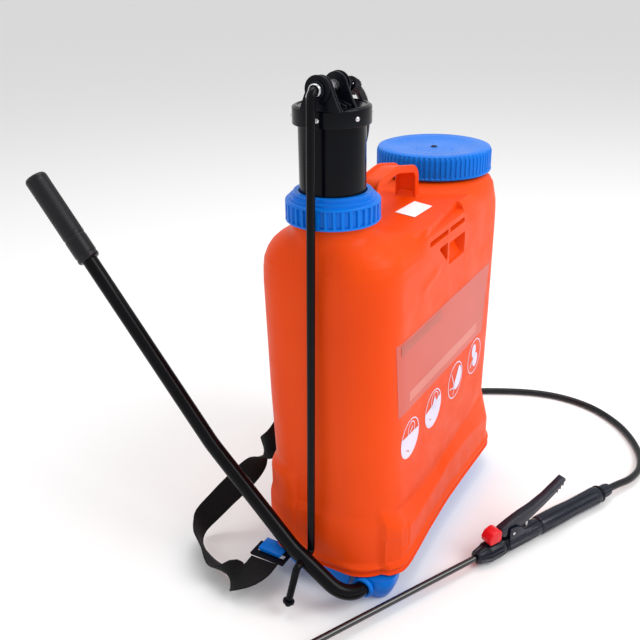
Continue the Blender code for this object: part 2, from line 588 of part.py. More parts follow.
def build_lance():
    """The lance lies on the ground; in its own frame +X runs from the nozzle to the hose."""
    frame = empty("lance_frame", LANCE_ORIGIN, LANCE_TURN)
    centre = (0, 0, 0)

    def turned(name, profile, color=BLACK, roughness=0.35, segments=24, metallic=0.0):
        made = lathe(name, profile, centre, color, roughness, (1, 0, 0), segments, metallic)
        return lance_piece(made, frame)

    turned("lance_nut", [(0.0128, -0.0003), (0.0130, -0.0260), (0.0085, -0.0440), (0.0044, -0.0440),
                         (0.0044, -0.0003)])
    turned("lance_tube", tube(0.0030, 0.0040, -0.4940, -0.0008), segments=16)
    turned("nozzle_body", [(0.0070, -0.4860), (0.0090, -0.4900), (0.0090, -0.5080), (0.0020, -0.5080),
                           (0.0020, -0.4945), (0.0043, -0.4945), (0.0043, -0.4860)], segments=20)
    turned("nozzle_cap", [(0.0100, -0.5083), (0.0100, -0.5200), (0.0070, -0.5250), (0.0010, -0.5250),
                          (0.0010, -0.5083)], (0.75, 0.5, 0.12), segments=20)
    turned("lance_collar", tube(0.0025, 0.0105, 0.0, 0.0060), segments=20)
    body = turned("valve_body", disc(0.0120, 0.0063, 0.0660), segments=28)
    for side in (-1, 1):
        outline = [(0.0080, 0.004), (0.0065, 0.020), (0.0080, 0.0260), (0.0200, 0.0260), (0.0340, 0.014), (0.0360, 0.004)]
        low, high = sorted((side * 0.0062, side * 0.0090))
        cheek = extrude_outline(f"cheek_{side}", outline, low, high, lambda u, v, w: (u, w, v))
        combine(body, "UNION", lance_piece(cheek, frame))
    pin_hole = lathe("pin_hole", disc(0.0023, -0.02, 0.02), (0.0120, 0, 0.0195), BLACK, axis=(0, 1, 0), segments=12)
    combine(body, "DIFFERENCE", lance_piece(pin_hole, frame))
    stem_bore = lathe("stem_bore", disc(0.0029, -0.009, 0.020), (0.0440, 0, 0), BLACK, segments=12)
    combine(body, "DIFFERENCE", lance_piece(stem_bore, frame))
    turned("handle_grip", [(0.0125, 0.0663), (0.0128, 0.1100), (0.0116, 0.1300), (0.0122, 0.1650), (0.0126, 0.1820),
                           (0.0118, GRIP_END), (0.0040, GRIP_END), (0.0040, 0.0663)][::-1], roughness=0.5)
    turned("handle_end_ring", tube(0.0030, 0.0112, GRIP_END + GAP, 0.1940), segments=24)
    turned("hose_nut", tube(0.0030, 0.0092, 0.1943, 0.2100), segments=20)

    trigger_outline = [
        (0.0000, 0.0150), (0.0120, 0.0140), (0.0220, 0.0185), (0.0440, 0.0250), (0.0700, 0.0360), (0.0900, 0.0460),
        (0.1085, 0.0600), (0.1065, 0.0645), (0.0950, 0.0590), (0.0740, 0.0490), (0.0500, 0.0420), (0.0300, 0.0390),
        (0.0100, 0.0340), (-0.0060, 0.0290), (-0.0070, 0.0200),
    ]
    trigger = extrude_outline("trigger", trigger_outline, -0.0058, 0.0058, lambda u, v, w: (u, w, v))
    trigger_hole = lathe("trigger_hole", disc(0.0023, -0.02, 0.02), (0.0120, 0, 0.0195), BLACK, axis=(0, 1, 0),
                         segments=12)
    lance_piece(trigger, frame)
    combine(trigger, "DIFFERENCE", lance_piece(trigger_hole, frame))
    pin = lathe("trigger_pin", disc(0.0020, -0.0105, 0.0105), (0.0120, 0, 0.0195), STEEL, 0.3, axis=(0, 1, 0),
                segments=12, metallic=1.0)
    lance_piece(pin, frame)
    stem = lathe("valve_stem", disc(0.0025, 0.0010, 0.0215), (0.0440, 0, 0), STEEL, 0.3, segments=12, metallic=1.0)
    lance_piece(stem, frame)
    clip_outline = [(-0.0270, 0.0150), (-0.0100, 0.0150), (-0.0078, 0.0180), (-0.0078, 0.0310), (-0.0140, 0.0340),
                    (-0.0240, 0.0310), (-0.0290, 0.0230)]
    clip = extrude_outline("lock_clip", clip_outline, -0.0085, 0.0085, lambda u, v, w: (u, w, v), RED, 0.35)
    lance_piece(clip, frame)


def ribbon(name, stations):
    """A strap through stations of (centre, width direction); both are smoothed along its length."""
    centres = smooth_route([station[0] for station in stations], 0.016)
    widths = [Vector(station[1]).normalized() for station in stations]
    rings = []
    last = len(centres) - 1
    for i, centre in enumerate(centres):
        along = (centres[min(i + 1, last)] - centres[max(i - 1, 0)]).normalized()
        place = i / last * (len(widths) - 1)
        k = min(int(place), len(widths) - 2)
        side = widths[k].lerp(widths[k + 1], place - k)
        side = (side - along * side.dot(along)).normalized() * 0.5 * STRAP_WIDTH
        up = along.cross(side).normalized() * 0.5 * STRAP_THICKNESS
        rings.append([centre + side + up, centre - side + up, centre - side - up, centre + side - up])
    return loft(name, rings, BLACK, 0.8)


LEFT_STRAP = (
    ((-0.075, 0.0925, 0.392), (1, 0, 0)), ((-0.077, 0.0955, 0.300), (1, 0, 0)), ((-0.080, 0.0985, 0.200), (1, 0, 0)),
    ((-0.092, 0.1120, 0.140), (1, 0.1, 0)), ((-0.125, 0.1400, 0.090), (0.9, -0.3, 0.3)),
    ((-0.160, 0.1700, 0.050), (0.7, -0.5, 0.5)), ((-0.188, 0.1850, 0.026), (0.4, -0.5, 0.7)),
    ((-0.212, 0.1700, 0.021), (0.0, 0.1, 1.0)), ((-0.232, 0.1350, 0.021), (0.1, 0.0, 1.0)),
    ((-0.248, 0.1050, 0.024), (-0.1, 0.3, 1.0)), ((-0.2460, 0.0780, 0.027), (0.0, 1.0, 0.6)),
    ((-0.2320, 0.0680, 0.0282), (0.0, 1.0, 0.0)), ((-0.2110, 0.0680, 0.0282), (0.0, 1.0, 0.0)),
)
RIGHT_STRAP = (
    ((0.075, 0.0925, 0.392), (1, 0, 0)), ((0.077, 0.0955, 0.300), (1, 0, 0)), ((0.082, 0.0985, 0.200), (1, 0, 0)),
    ((0.092, 0.1200, 0.140), (1, -0.1, 0)), ((0.108, 0.1560, 0.090), (0.9, -0.4, 0)),
    ((0.130, 0.1920, 0.045), (0.8, -0.6, 0)), ((0.160, 0.2050, 0.022), (0.4, -0.7, 0.7)),
    ((0.195, 0.1900, 0.021), (0.0, 0.1, 1.0)), ((0.220, 0.1600, 0.024), (0.0, 0.0, 1.0)),
    ((0.2400, 0.1250, 0.029), (0.1, 0.1, 1.0)), ((0.2480, 0.0860, 0.028), (0.0, 1.0, 0.6)),
    ((0.2320, 0.0680, 0.0282), (0.0, 1.0, 0.0)), ((0.2110, 0.0680, 0.0282), (0.0, 1.0, 0.0)),
)


def slotted_plate(name, centre, half_size, slot_half_size, thickness, place_axes, color=BLACK):
    """A flat plate with one long slot; centre and sizes are (u, v), and w is its thickness."""
    u, v = centre
    outer = [(u + su * half_size[0], v + sv * half_size[1]) for su, sv in ((1, 1), (-1, 1), (-1, -1), (1, -1))]
    plate = extrude_outline(name, outer, thickness[0], thickness[1], place_axes, color)
    inner = [(u + su * slot_half_size[0], v + sv * slot_half_size[1]) for su, sv in ((1, 1), (-1, 1), (-1, -1), (1, -1))]
    cutter = extrude_outline(f"{name}_slot", inner, thickness[0] - 0.002, thickness[1] + 0.002, place_axes)
    combine(plate, "DIFFERENCE", cutter)
    return plate


def build_straps():
    ribbon("strap_left", LEFT_STRAP)
    ribbon("strap_right", RIGHT_STRAP)
    slotted_plate(
        "strap_anchor", (0.0, 0.409), (0.100, 0.014), (0.050, 0.006), (TANK_BACK + GAP, TANK_BACK + 0.0055),
        lambda u, v, w: (u, w, v),
    )
    for side, name in ((-1, "left"), (1, "right")):
        slotted_plate(
            f"strap_buckle_{name}", (side * 0.0775, 0.250), (0.023, 0.016), (0.0195, 0.004), (0.1010, 0.1045),
            lambda u, v, w: (u, w, v),
        )
        slotted_plate(
            f"strap_hook_{name}", (side * 0.1957, 0.067), (0.0125, 0.024), (0.0040, 0.0200), (0.0267, 0.0297),
            lambda u, v, w: (u, v, w),
        )


def build():
    clear_scene()
    build_tank()
    build_base()
    build_lever()
    build_link()
    build_pump()
    build_filler()
    build_hose()
    build_lance()
    build_straps()


build()
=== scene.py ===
"""Looks of the knapsack sprayer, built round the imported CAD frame. All lengths are in metres."""

import math

import bmesh
import bpy
import numpy as np
from mathutils import Matrix, Vector


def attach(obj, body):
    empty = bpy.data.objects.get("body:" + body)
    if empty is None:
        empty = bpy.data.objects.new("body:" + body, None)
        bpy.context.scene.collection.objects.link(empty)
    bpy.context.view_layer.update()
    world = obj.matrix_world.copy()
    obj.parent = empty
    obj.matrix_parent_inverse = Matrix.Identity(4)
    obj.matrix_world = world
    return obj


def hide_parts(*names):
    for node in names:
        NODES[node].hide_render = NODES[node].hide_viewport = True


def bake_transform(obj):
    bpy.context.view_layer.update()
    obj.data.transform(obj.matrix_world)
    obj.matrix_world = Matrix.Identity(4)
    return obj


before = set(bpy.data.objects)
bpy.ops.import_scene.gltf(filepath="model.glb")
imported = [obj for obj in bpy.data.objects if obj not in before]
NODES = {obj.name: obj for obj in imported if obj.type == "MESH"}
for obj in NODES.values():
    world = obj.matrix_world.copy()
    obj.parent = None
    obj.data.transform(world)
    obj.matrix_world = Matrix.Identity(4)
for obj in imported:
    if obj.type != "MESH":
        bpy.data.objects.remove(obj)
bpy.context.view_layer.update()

# Camera
CAMERA_PLACE = (-0.8476, -0.3918, 0.7161)
CAMERA_AZIMUTH = math.radians(-60.02)
CAMERA_PITCH = math.radians(23.106)
CAMERA_ROLL = math.radians(-1.0528)
CAMERA_LENS = 44.48
CAMERA_SHIFT = (-0.0058, -0.0339)

# Stage: the floor lies just below the pieces that rest on it.
FLOOR_SIZE = 60.0
FLOOR_DROP = 0.0006
WORLD_STRENGTH = 0.74

# Tank
HALF_WIDTH = 0.193
FRONT = -0.084
BACK = 0.084
TANK_LOW = 0.038
TANK_TOP = 0.447
PUMP = Vector((-0.145, 0.0, 0.0))
FILLER = Vector((0.132, 0.0, 0.0))
CHAMBER_RADIUS = 0.035

# Lever and link rod
LEVER_PLANE = -0.2185
PIVOT = Vector((LEVER_PLANE, -0.058, 0.0225))
LEVER_RADIUS = 0.0093
LINK_PLANE = -0.203
LINK_RADIUS = 0.0045
LINK_LOW = Vector((LINK_PLANE, 0.004, 0.0634))
LINK_HIGH = Vector((LINK_PLANE, -0.01, 0.605))

# Hose and lance
HOSE_RADIUS = 0.005
LANCE = Matrix.Translation((-0.026, -0.177, 0.0135)) @ Matrix.Rotation(math.radians(-27.5), 4, "Z")


# ---------------------------------------------------------------- camera, floor and light


def make_camera():
    data = bpy.data.cameras.new("camera")
    data.lens = CAMERA_LENS
    data.sensor_width = 36.0
    data.shift_x, data.shift_y = CAMERA_SHIFT
    camera = bpy.data.objects.new("camera", data)
    ahead = Vector((-math.sin(CAMERA_AZIMUTH) * math.cos(CAMERA_PITCH),
        math.cos(CAMERA_AZIMUTH) * math.cos(CAMERA_PITCH), -math.sin(CAMERA_PITCH)))
    right = Vector((math.cos(CAMERA_AZIMUTH), math.sin(CAMERA_AZIMUTH), 0.0))
    up = right.cross(ahead)
    cos, sin = math.cos(CAMERA_ROLL), math.sin(CAMERA_ROLL)
    columns = (cos * right + sin * up, cos * up - sin * right, -ahead)
    rotation = Matrix(columns).transposed().to_4x4()
    camera.matrix_world = Matrix.Translation(CAMERA_PLACE) @ rotation
    bpy.context.scene.collection.objects.link(camera)
    bpy.context.scene.camera = camera


def area_light(name, place, aim, size, power):
    data = bpy.data.lights.new(name, "AREA")
    data.shape = "RECTANGLE"
    data.size, data.size_y = size
    data.energy = power
    light = bpy.data.objects.new(name, data)
    light.location = place
    light.rotation_euler = (Vector(aim) - Vector(place)).to_track_quat("-Z", "Y").to_euler()
    bpy.context.scene.collection.objects.link(light)


def make_stage():
    scene = bpy.context.scene
    scene.view_settings.view_transform = "Standard"
    world = bpy.data.worlds.new("studio")
    world.use_nodes = True
    sky = {"Color": (1.0, 1.0, 1.0, 1.0), "Strength": WORLD_STRENGTH}
    set_values(world.node_tree.nodes["Background"], sky)
    scene.world = world
    bm = bmesh.new()
    bmesh.ops.create_grid(bm, x_segments=2, y_segments=2, size=FLOOR_SIZE)
    mesh = mesh_of(bm, "floor")
    mesh.materials.append(plain("floor_paper", (0.93, 0.93, 0.93), 0.9))
    floor = bpy.data.objects.new("floor", mesh)
    floor.location = (0, 0, -FLOOR_DROP)
    scene.collection.objects.link(floor)
    area_light("key", (0.1, -2.0, 2.1), (0, 0, 0.25), (1.5, 1.5), 38.0)
    area_light("side", (-1.7, 1.2, 1.3), (0, 0, 0.3), (0.4, 1.4), 3.0)
    area_light("top", (0.3, 0.2, 2.4), (0, 0, 0.3), (1.4, 1.0), 18.0)


# ---------------------------------------------------------------- materials


def new_material(name):
    made = bpy.data.materials.new(name)
    made.use_nodes = True
    tree = made.node_tree
    return made, tree, tree.nodes["Principled BSDF"]


def set_values(node, values):
    for name, value in values.items():
        node.inputs[name].default_value = value


def add_node(tree, kind, values):
    node = tree.nodes.new(kind)
    set_values(node, values)
    return node


def plain(name, color, roughness):
    made, _, shader = new_material(name)
    set_values(shader, {"Base Color": (*color, 1.0), "Roughness": roughness})
    return made


def noise(tree, scale, detail=2.0):
    coordinates = tree.nodes.new("ShaderNodeTexCoord")
    texture = add_node(tree, "ShaderNodeTexNoise", {"Scale": scale, "Detail": detail})
    tree.links.new(coordinates.outputs["Object"], texture.inputs["Vector"])
    return texture.outputs["Fac"]


def spread(tree, value, low, high):
    """The 0.3 to 0.7 part of a noise, spread from low to high."""
    ranges = {"From Min": 0.3, "From Max": 0.7, "To Min": low, "To Max": high}
    node = add_node(tree, "ShaderNodeMapRange", ranges)
    tree.links.new(value, node.inputs["Value"])
    return node.outputs["Result"]


def bump(tree, shader, value, strength, distance):
    node = add_node(tree, "ShaderNodeBump", {"Strength": strength, "Distance": distance})
    tree.links.new(value, node.inputs["Height"])
    tree.links.new(node.outputs["Normal"], shader.inputs["Normal"])


def mixed(tree, shader, dark, light, factor):
    """A base colour that goes from dark to light with a factor."""
    mix = tree.nodes.new("ShaderNodeMix")
    mix.data_type = "RGBA"
    set_values(mix, {"A": (*dark, 1.0), "B": (*light, 1.0)})
    tree.links.new(factor, mix.inputs["Factor"])
    tree.links.new(mix.outputs["Result"], shader.inputs["Base Color"])


def uneven_gloss(tree, shader, texture, low, high):
    tree.links.new(spread(tree, texture, low, high), shader.inputs["Roughness"])


def moulded(name, dark, light, roughness, grain, grain_depth, blotch, specular=0.5):
    """Moulded plastic, rubber or coated metal: slow colour drift, uneven gloss and a fine skin."""
    made, tree, shader = new_material(name)
    mixed(tree, shader, dark, light, spread(tree, noise(tree, blotch, 3.0), 0.0, 1.0))
    uneven_gloss(tree, shader, noise(tree, 34.0, 4.0), roughness * 0.85, roughness * 1.2)
    bump(tree, shader, noise(tree, grain), 0.5, grain_depth)
    set_values(shader, {"Specular IOR Level": specular})
    return made


def woven(name, dark, light):
    """Polypropylene webbing: ribs across and along the strap from its own UV map, in metres."""
    made, tree, shader = new_material(name)
    coordinates = tree.nodes.new("ShaderNodeTexCoord")
    product = tree.nodes.new("ShaderNodeMath")
    product.operation = "MULTIPLY"
    for i, (direction, scale) in enumerate((("X", 260.0), ("Y", 340.0))):
        wave = add_node(tree, "ShaderNodeTexWave", {"Scale": scale, "Distortion": 0.6, "Detail": 1.0})
        wave.bands_direction = direction
        tree.links.new(coordinates.outputs["UV"], wave.inputs["Vector"])
        tree.links.new(wave.outputs["Fac"], product.inputs[i])
    mixed(tree, shader, dark, light, product.outputs["Value"])
    set_values(shader, {"Roughness": 0.8, "Specular IOR Level": 0.2, "Sheen Weight": 0.05})
    bump(tree, shader, product.outputs["Value"], 0.8, 0.0005)
    return made


def brushed(name, color, roughness):
    made, tree, shader = new_material(name)
    set_values(shader, {"Base Color": (*color, 1.0), "Metallic": 1.0})
    uneven_gloss(tree, shader, noise(tree, 600.0, 3.0), roughness * 0.7, roughness * 1.4)
    bump(tree, shader, noise(tree, 900.0), 0.3, 0.00003)
    return made


def film(name, color, alpha, roughness):
    """Printed film or paper with a slow drift in its tint."""
    made, tree, shader = new_material(name)
    mixed(tree, shader, [0.93 * c for c in color], color, spread(tree, noise(tree, 14.0), 0.0, 1.0))
    set_values(shader, {"Alpha": alpha, "Roughness": roughness, "Specular IOR Level": 0.25})
    return made


ORANGE = moulded("tank_orange", (0.76, 0.056, 0.001), (0.83, 0.068, 0.0016), 0.42, 300.0, 0.00007, 6.0,
    specular=0.14)
BLUE = moulded("blue_plastic", (0.0005, 0.145, 0.62), (0.001, 0.17, 0.7), 0.28, 380.0, 0.00005, 14.0,
    specular=0.16)
BLACK = moulded("black_plastic", (0.0026, 0.003, 0.006), (0.004, 0.0046, 0.0085), 0.3, 500.0, 0.00006, 20.0,
    specular=0.11)
BLACK_GLOSS = moulded("black_gloss", (0.0016, 0.0018, 0.0035), (0.0026, 0.003, 0.0055), 0.16, 350.0, 0.00004,
    18.0, specular=0.14)
HANDLE_BLACK = moulded("handle_black", (0.0035, 0.005, 0.0135), (0.0055, 0.008, 0.02), 0.26, 450.0, 0.00006,
    25.0, specular=0.35)
GRIP_BLACK = moulded("grip_black", (0.003, 0.0032, 0.005), (0.005, 0.0052, 0.008), 0.36, 700.0, 0.0001, 25.0,
    specular=0.28)
COATED = moulded("powder_coat", (0.0018, 0.0018, 0.0026), (0.0028, 0.0028, 0.004), 0.2, 900.0, 0.00008, 30.0,
    specular=0.11)
LANCE_COAT = moulded("lance_coat", (0.0018, 0.002, 0.003), (0.003, 0.0032, 0.0048), 0.14, 900.0, 0.00005,
    30.0, specular=0.8)
HOSE = moulded("hose_rubber", (0.004, 0.0044, 0.0065), (0.007, 0.0074, 0.01), 0.3, 500.0, 0.00005, 30.0,
    specular=0.3)
SEAL = moulded("seal_rubber", (0.006, 0.006, 0.008), (0.012, 0.012, 0.014), 0.65, 800.0, 0.0001, 30.0,
    specular=0.2)
RED = moulded("red_plastic", (0.62, 0.004, 0.01), (0.7, 0.007, 0.015), 0.32, 450.0, 0.00005, 25.0,
    specular=0.35)
NATURAL = moulded("natural_plastic", (0.7, 0.7, 0.66), (0.78, 0.78, 0.75), 0.45, 500.0, 0.00006, 15.0)
WEBBING = woven("webbing", (0.0025, 0.0025, 0.0035), (0.008, 0.008, 0.01))
STEEL = brushed("bright_steel", (0.62, 0.62, 0.64), 0.28)
BRASS = brushed("brass", (0.78, 0.52, 0.18), 0.25)
LABEL = film("label_film", (0.8, 0.165, 0.125), 0.62, 0.3)
LABEL_DARK = film("label_bar", (0.62, 0.15, 0.11), 0.7, 0.35)
LABEL_LIGHT = film("label_band", (0.9, 0.3, 0.24), 0.6, 0.3)
ICON = film("icon_print", (0.74, 0.68, 0.84), 1.0, 0.45)
ICON_LINE = film("icon_line", (0.5, 0.1, 0.09), 1.0, 0.45)
STICKER = film("sticker_paper", (0.86, 0.86, 0.88), 1.0, 0.6)

# Material, body and slot of the pieces that share all three
HEAD = (BLACK, "chamber", "chamber_plastic")
CHAMBER = (BLACK_GLOSS, "chamber", "chamber_plastic")
DISC = (BLACK, "link", "black_plastic")
TANK = (ORANGE, "root", "tank")
BASE = (BLUE, "root", "base_plastic")
FITTING = (BLACK, "root", "black_plastic")
HANDLE = (HANDLE_BLACK, "root", "black_plastic")
BRIGHT_LINK = (STEEL, "link", "bright_steel")
CAP = (BLUE, "filler_cap", "blue_plastic")


# ---------------------------------------------------------------- mesh tools


def place_piece(name, mesh, material, body, slot, replaced=(), sharp=32.0):
    mesh.materials.append(material)
    mesh.shade_smooth()
    mesh.set_sharp_from_angle(angle=math.radians(sharp))
    piece = bpy.data.objects.new(name, mesh)
    bpy.context.scene.collection.objects.link(piece)
    if body is not None:
        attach(piece, body)
    if replaced:
        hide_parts(*replaced)
    return piece


def mesh_of(bm, name):
    mesh = bpy.data.meshes.new(name)
    bm.to_mesh(mesh)
    bm.free()
    return mesh


def mesh_from(name, points, faces, matrix=None):
    bm = bmesh.new()
    verts = [bm.verts.new(matrix @ Vector(p) if matrix else p) for p in points]
    for face in faces:
        bm.faces.new([verts[i] for i in face])
    bmesh.ops.recalc_face_normals(bm, faces=bm.faces[:])
    return mesh_of(bm, name)


# Radius that stands for the axis of a turned solid, whose points can't all meet there
AXIS = 0.00005


def polar(radius, angle, x=0.0, y=0.0):
    return x + radius * math.cos(angle), y + radius * math.sin(angle)


def ring_faces(levels, count, closed):
    """Quads between rings of points, and flat ends unless the rings close on themselves."""
    faces = []
    for k in range(levels if closed else levels - 1):
        low, high = k * count, (k + 1) % levels * count
        for i in range(count):
            j = (i + 1) % count
            faces.append((low + i, low + j, high + j, high + i))
    if not closed:
        faces.append(tuple(range(count)))
        faces.append(tuple((levels - 1) * count + i for i in range(count)))
    return faces


def turned(profile, steps=96, ribs=None, closed=False):
    """Points and faces of a turned solid about Z; ribs(angle, level) adds to the radius."""
    points = []
    for level, (radius, height) in enumerate(profile):
        for i in range(steps):
            angle = 2 * math.pi * i / steps
            r = max(0.00002, radius + (ribs(angle, level) if ribs else 0.0))
            points.append((*polar(r, angle), height))
    return points, ring_faces(len(profile), steps, closed)


def soften(profile, radius, closed=False, steps=3):
    """A profile with each corner replaced by a small arc."""
    pts = [Vector(p) for p in profile]
    made = []
    for i, p in enumerate(pts):
        if not closed and i in (0, len(pts) - 1):
            made.append(tuple(p))
            continue
        before, after = pts[i - 1], pts[(i + 1) % len(pts)]
        back, ahead = before - p, after - p
        reach = min(radius, 0.45 * back.length, 0.45 * ahead.length)
        start, end = p + back.normalized() * reach, p + ahead.normalized() * reach
        for k in range(steps + 1):
            t = k / steps
            made.append(tuple(start.lerp(p, t).lerp(p.lerp(end, t), t)))
    return made


def lathe_piece(name, profile, material, body, slot, place=(0, 0, 0), axis=(0, 0, 1), replaced=(), steps=96,
        ribs=None, closed=False, round_by=0.0006, frame_matrix=None, sharp=32.0):
    profile = soften(profile, round_by, closed) if round_by and ribs is None else profile
    points, faces = turned(profile, steps, ribs, closed)
    matrix = Matrix.Translation(place) @ Vector((0, 0,
        1)).rotation_difference(Vector(axis)).to_matrix().to_4x4()
    if frame_matrix is not None:
        matrix = frame_matrix @ matrix
    return place_piece(name, mesh_from(name, points, faces, matrix), material, body, slot, replaced, sharp)


def rounded_path(corners, radii, arc_steps=10):
    corners = [Vector(corner) for corner in corners]
    points = [corners[0]]
    for before, corner, after, radius in zip(corners, corners[1:], corners[2:], radii):
        into = (corner - before).normalized()
        out = (after - corner).normalized()
        half_turn = 0.5 * into.angle(out)
        reach = radius * math.tan(half_turn)
        centre = corner + (out - into).normalized() * radius / math.cos(half_turn)
        start = corner - into * reach - centre
        axis = into.cross(out).normalized()
        for k in range(arc_steps + 1):
            points.append(centre + Matrix.Rotation(2 * half_turn * k / arc_steps, 3, axis) @ start)
    points.append(corners[-1])
    return points


def circle(radius, sides):
    return [polar(radius, 2 * math.pi * i / sides) for i in range(sides)]


def swept(points, section, start_side=(0, 0, 1), scales=None):
    """Rings of a section of (side, up) points carried along a path without twisting."""
    points = [Vector(p) for p in points]
    side = Vector(start_side)
    made = []
    for i, point in enumerate(points):
        along = (points[min(i + 1, len(points) - 1)] - points[max(i - 1, 0)]).normalized()
        side = (side - along * side.dot(along)).normalized()
        up = along.cross(side)
        scale = scales[i] if scales else 1.0
        made += [point + (side * a + up * b) * scale for a, b in section]
    return made, ring_faces(len(points), len(section), False)


def sweep_piece(name, points, section, material, body, slot, replaced=(), start_side=(0, 0, 1), scales=None,
        sharp=32.0):
    made, faces = swept(points, section, start_side, scales)
    return place_piece(name, mesh_from(name, made, faces), material, body, slot, replaced, sharp)


def dome_ends(points, radius, steps=4):
    """A path and its scales, with both ends of the swept rod rounded off."""
    points = [Vector(p) for p in points]
    first = (points[0] - points[1]).normalized()
    last = (points[-1] - points[-2]).normalized()
    head, tail, scales = [], [], []
    for k in range(steps):
        angle = 0.5 * math.pi * k / steps
        scales.append(max(0.04, math.sin(angle)))
        head.append(points[0] - first * radius * (1 - math.cos(angle)))
        tail.append(points[-1] - last * radius * (1 - math.cos(angle)))
    core = points[1:-1]
    return head + core + tail[::-1], scales + [1.0] * len(core) + scales[::-1]


def smooth_route(route, spacing):
    route = [Vector(point) for point in route]
    ends = [2 * route[0] - route[1]] + route + [2 * route[-1] - route[-2]]
    dense = []
    for a, b, c, d in zip(ends, ends[1:], ends[2:], ends[3:]):
        for k in range(24):
            t = k / 24
            dense.append(0.5 * (2 * b + (c - a) * t + (2 * a - 5 * b + 4 * c - d) * t**2
                + (3 * b - a - 3 * c + d) * t**3))
    dense.append(route[-1])
    travelled = [0.0]
    for a, b in zip(dense, dense[1:]):
        travelled.append(travelled[-1] + (b - a).length)
    count = max(2, round(travelled[-1] / spacing))
    points, k = [], 0
    for i in range(count + 1):
        target = travelled[-1] * i / count
        while k < len(dense) - 2 and travelled[k + 1] < target:
            k += 1
        share = (target - travelled[k]) / (travelled[k + 1] - travelled[k])
        points.append(dense[k].lerp(dense[k + 1], min(1.0, share)))
    return points


def bevelled(name, outline, low, high, axes, material, body, slot, replaced=(), width=0.0008, matrix=None,
        sharp=32.0, steps=2):
    """A flat outline with thickness and bevelled edges; axes turns (u, v, w) into (x, y, z)."""
    bm = bmesh.new()
    loops = []
    for w in (low, high):
        loops.append([bm.verts.new(axes(u, v, w)) for u, v in outline])
    count = len(outline)
    for i in range(count):
        j = (i + 1) % count
        bm.faces.new((loops[0][i], loops[0][j], loops[1][j], loops[1][i]))
    bm.faces.new(loops[0])
    bm.faces.new(loops[1])
    bmesh.ops.recalc_face_normals(bm, faces=bm.faces[:])
    edges = [e for e in bm.edges if e.calc_face_angle(0.0) > math.radians(25)]
    bmesh.ops.bevel(bm, geom=edges, offset=width, segments=steps, profile=0.5, affect="EDGES",
        clamp_overlap=True)
    if matrix is not None:
        bm.transform(matrix)
    return place_piece(name, mesh_of(bm, name), material, body, slot, replaced, sharp)


def step(value, low, high):
    """Smoothly from 0 at low to 1 at high."""
    t = min(1.0, max(0.0, (value - low) / (high - low)))
    return t * t * (3 - 2 * t)


def between(value, low, high, soft):
    """1 inside the span and 0 outside it, over a soft edge that lies inside."""
    return step(value, low, low + soft) * (1 - step(value, high - soft, high))


def sideways(u, v, w):
    """Axes for an outline in the YZ plane."""
    return w, u, v


def upright(u, v, w):
    """Axes for an outline in the XZ plane."""
    return u, w, v


def flutes(count, levels, depth, low, high, soft):
    """Ribs for a turned piece: grooves along the given levels of its profile."""

    def ribs(angle, level):
        if level not in levels:
            return 0.0
        return -depth * between((angle * count / (2 * math.pi)) % 1.0, low, high, soft)

    return ribs


# ---------------------------------------------------------------- hose

HOSE_DROP_ROUTE = ((-0.0939, 0.0008, 0.5938), (-0.086, -0.001, 0.588), (-0.079, -0.003, 0.574),
    (-0.075, -0.002, 0.552), (-0.072, 0.004, 0.529), (-0.068, 0.018, 0.509), (-0.062, 0.04, 0.494),
    (-0.056, 0.066, 0.483), (-0.051, 0.089, 0.465), (-0.048, 0.101, 0.435), (-0.046, 0.105, 0.39),
    (-0.044, 0.106, 0.3), (-0.04, 0.106, 0.2), (-0.034, 0.106, 0.11), (-0.026, 0.1065, 0.062),
    (-0.01, 0.108, 0.028), (0.015, 0.11, 0.011), (0.048, 0.112, 0.0058))
HOSE_FLOOR_ROUTE = ((0.0489, 0.112, 0.0058), (0.09, 0.113, 0.0054), (0.15, 0.111, 0.0054),
    (0.21, 0.102, 0.0054), (0.27, 0.079, 0.0054), (0.32, 0.039, 0.0054), (0.36, -0.02, 0.0054),
    (0.392, -0.09, 0.0054), (0.402, -0.146, 0.0054), (0.392, -0.2, 0.0054), (0.364, -0.244, 0.0054),
    (0.33, -0.274, 0.0054), (0.288, -0.296, 0.0056), (0.246, -0.304, 0.007), (0.208, -0.298, 0.01),
    (0.178, -0.2832, 0.0126), (0.1606, -0.2741, 0.0135))


def make_hose():
    route = smooth_route(HOSE_DROP_ROUTE[:-1] + HOSE_FLOOR_ROUTE[1:], 0.006)
    points, faces = swept(route, circle(HOSE_RADIUS, 20), (0, 1, 0))
    hose = place_piece("hose", mesh_from("hose", points, faces), HOSE, None, "hose_rubber",
        ("hose_drop", "hose_floor"))
    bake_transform(hose)


# ---------------------------------------------------------------- tank

# Height, then how far it stands in from the full side, front and back faces, or one number for all three.
TANK_LEVELS = [row if len(row) == 4 else (row[0], *row[1:] * 3) for row in ((0.038, -0.0005, -0.001, -0.001),
    (0.0395, 0.002), (0.0415, 0.0035), (0.043, 0.001), (0.045, -0.0005), (0.048, -0.001), (0.051, 0.001),
    (0.054, 0.0022), (0.09, 0.002), (0.108, 0.0022), (0.12, 0.0048, 0.001, 0.004),
    (0.14, 0.005, 0.0006, 0.004), (0.25, 0.002, 0.0, 0.0015), (0.39, 0.0), (0.407, 0.0004), (0.418, 0.0016),
    (0.428, 0.005), (0.435, 0.009), (0.441, 0.015), (0.445, 0.0225), (0.4466, 0.029), (0.447, 0.034))]
CORNER = 0.05
LIP_TOP = 0.052
SCOOP = (-0.08, 0.0335)
BAR_TOP = 0.4365
SHOULDER = 0.39
HANDLE_Y = -0.0085
HANDLE_LEFT, HANDLE_RIGHT = -0.082, 0.027
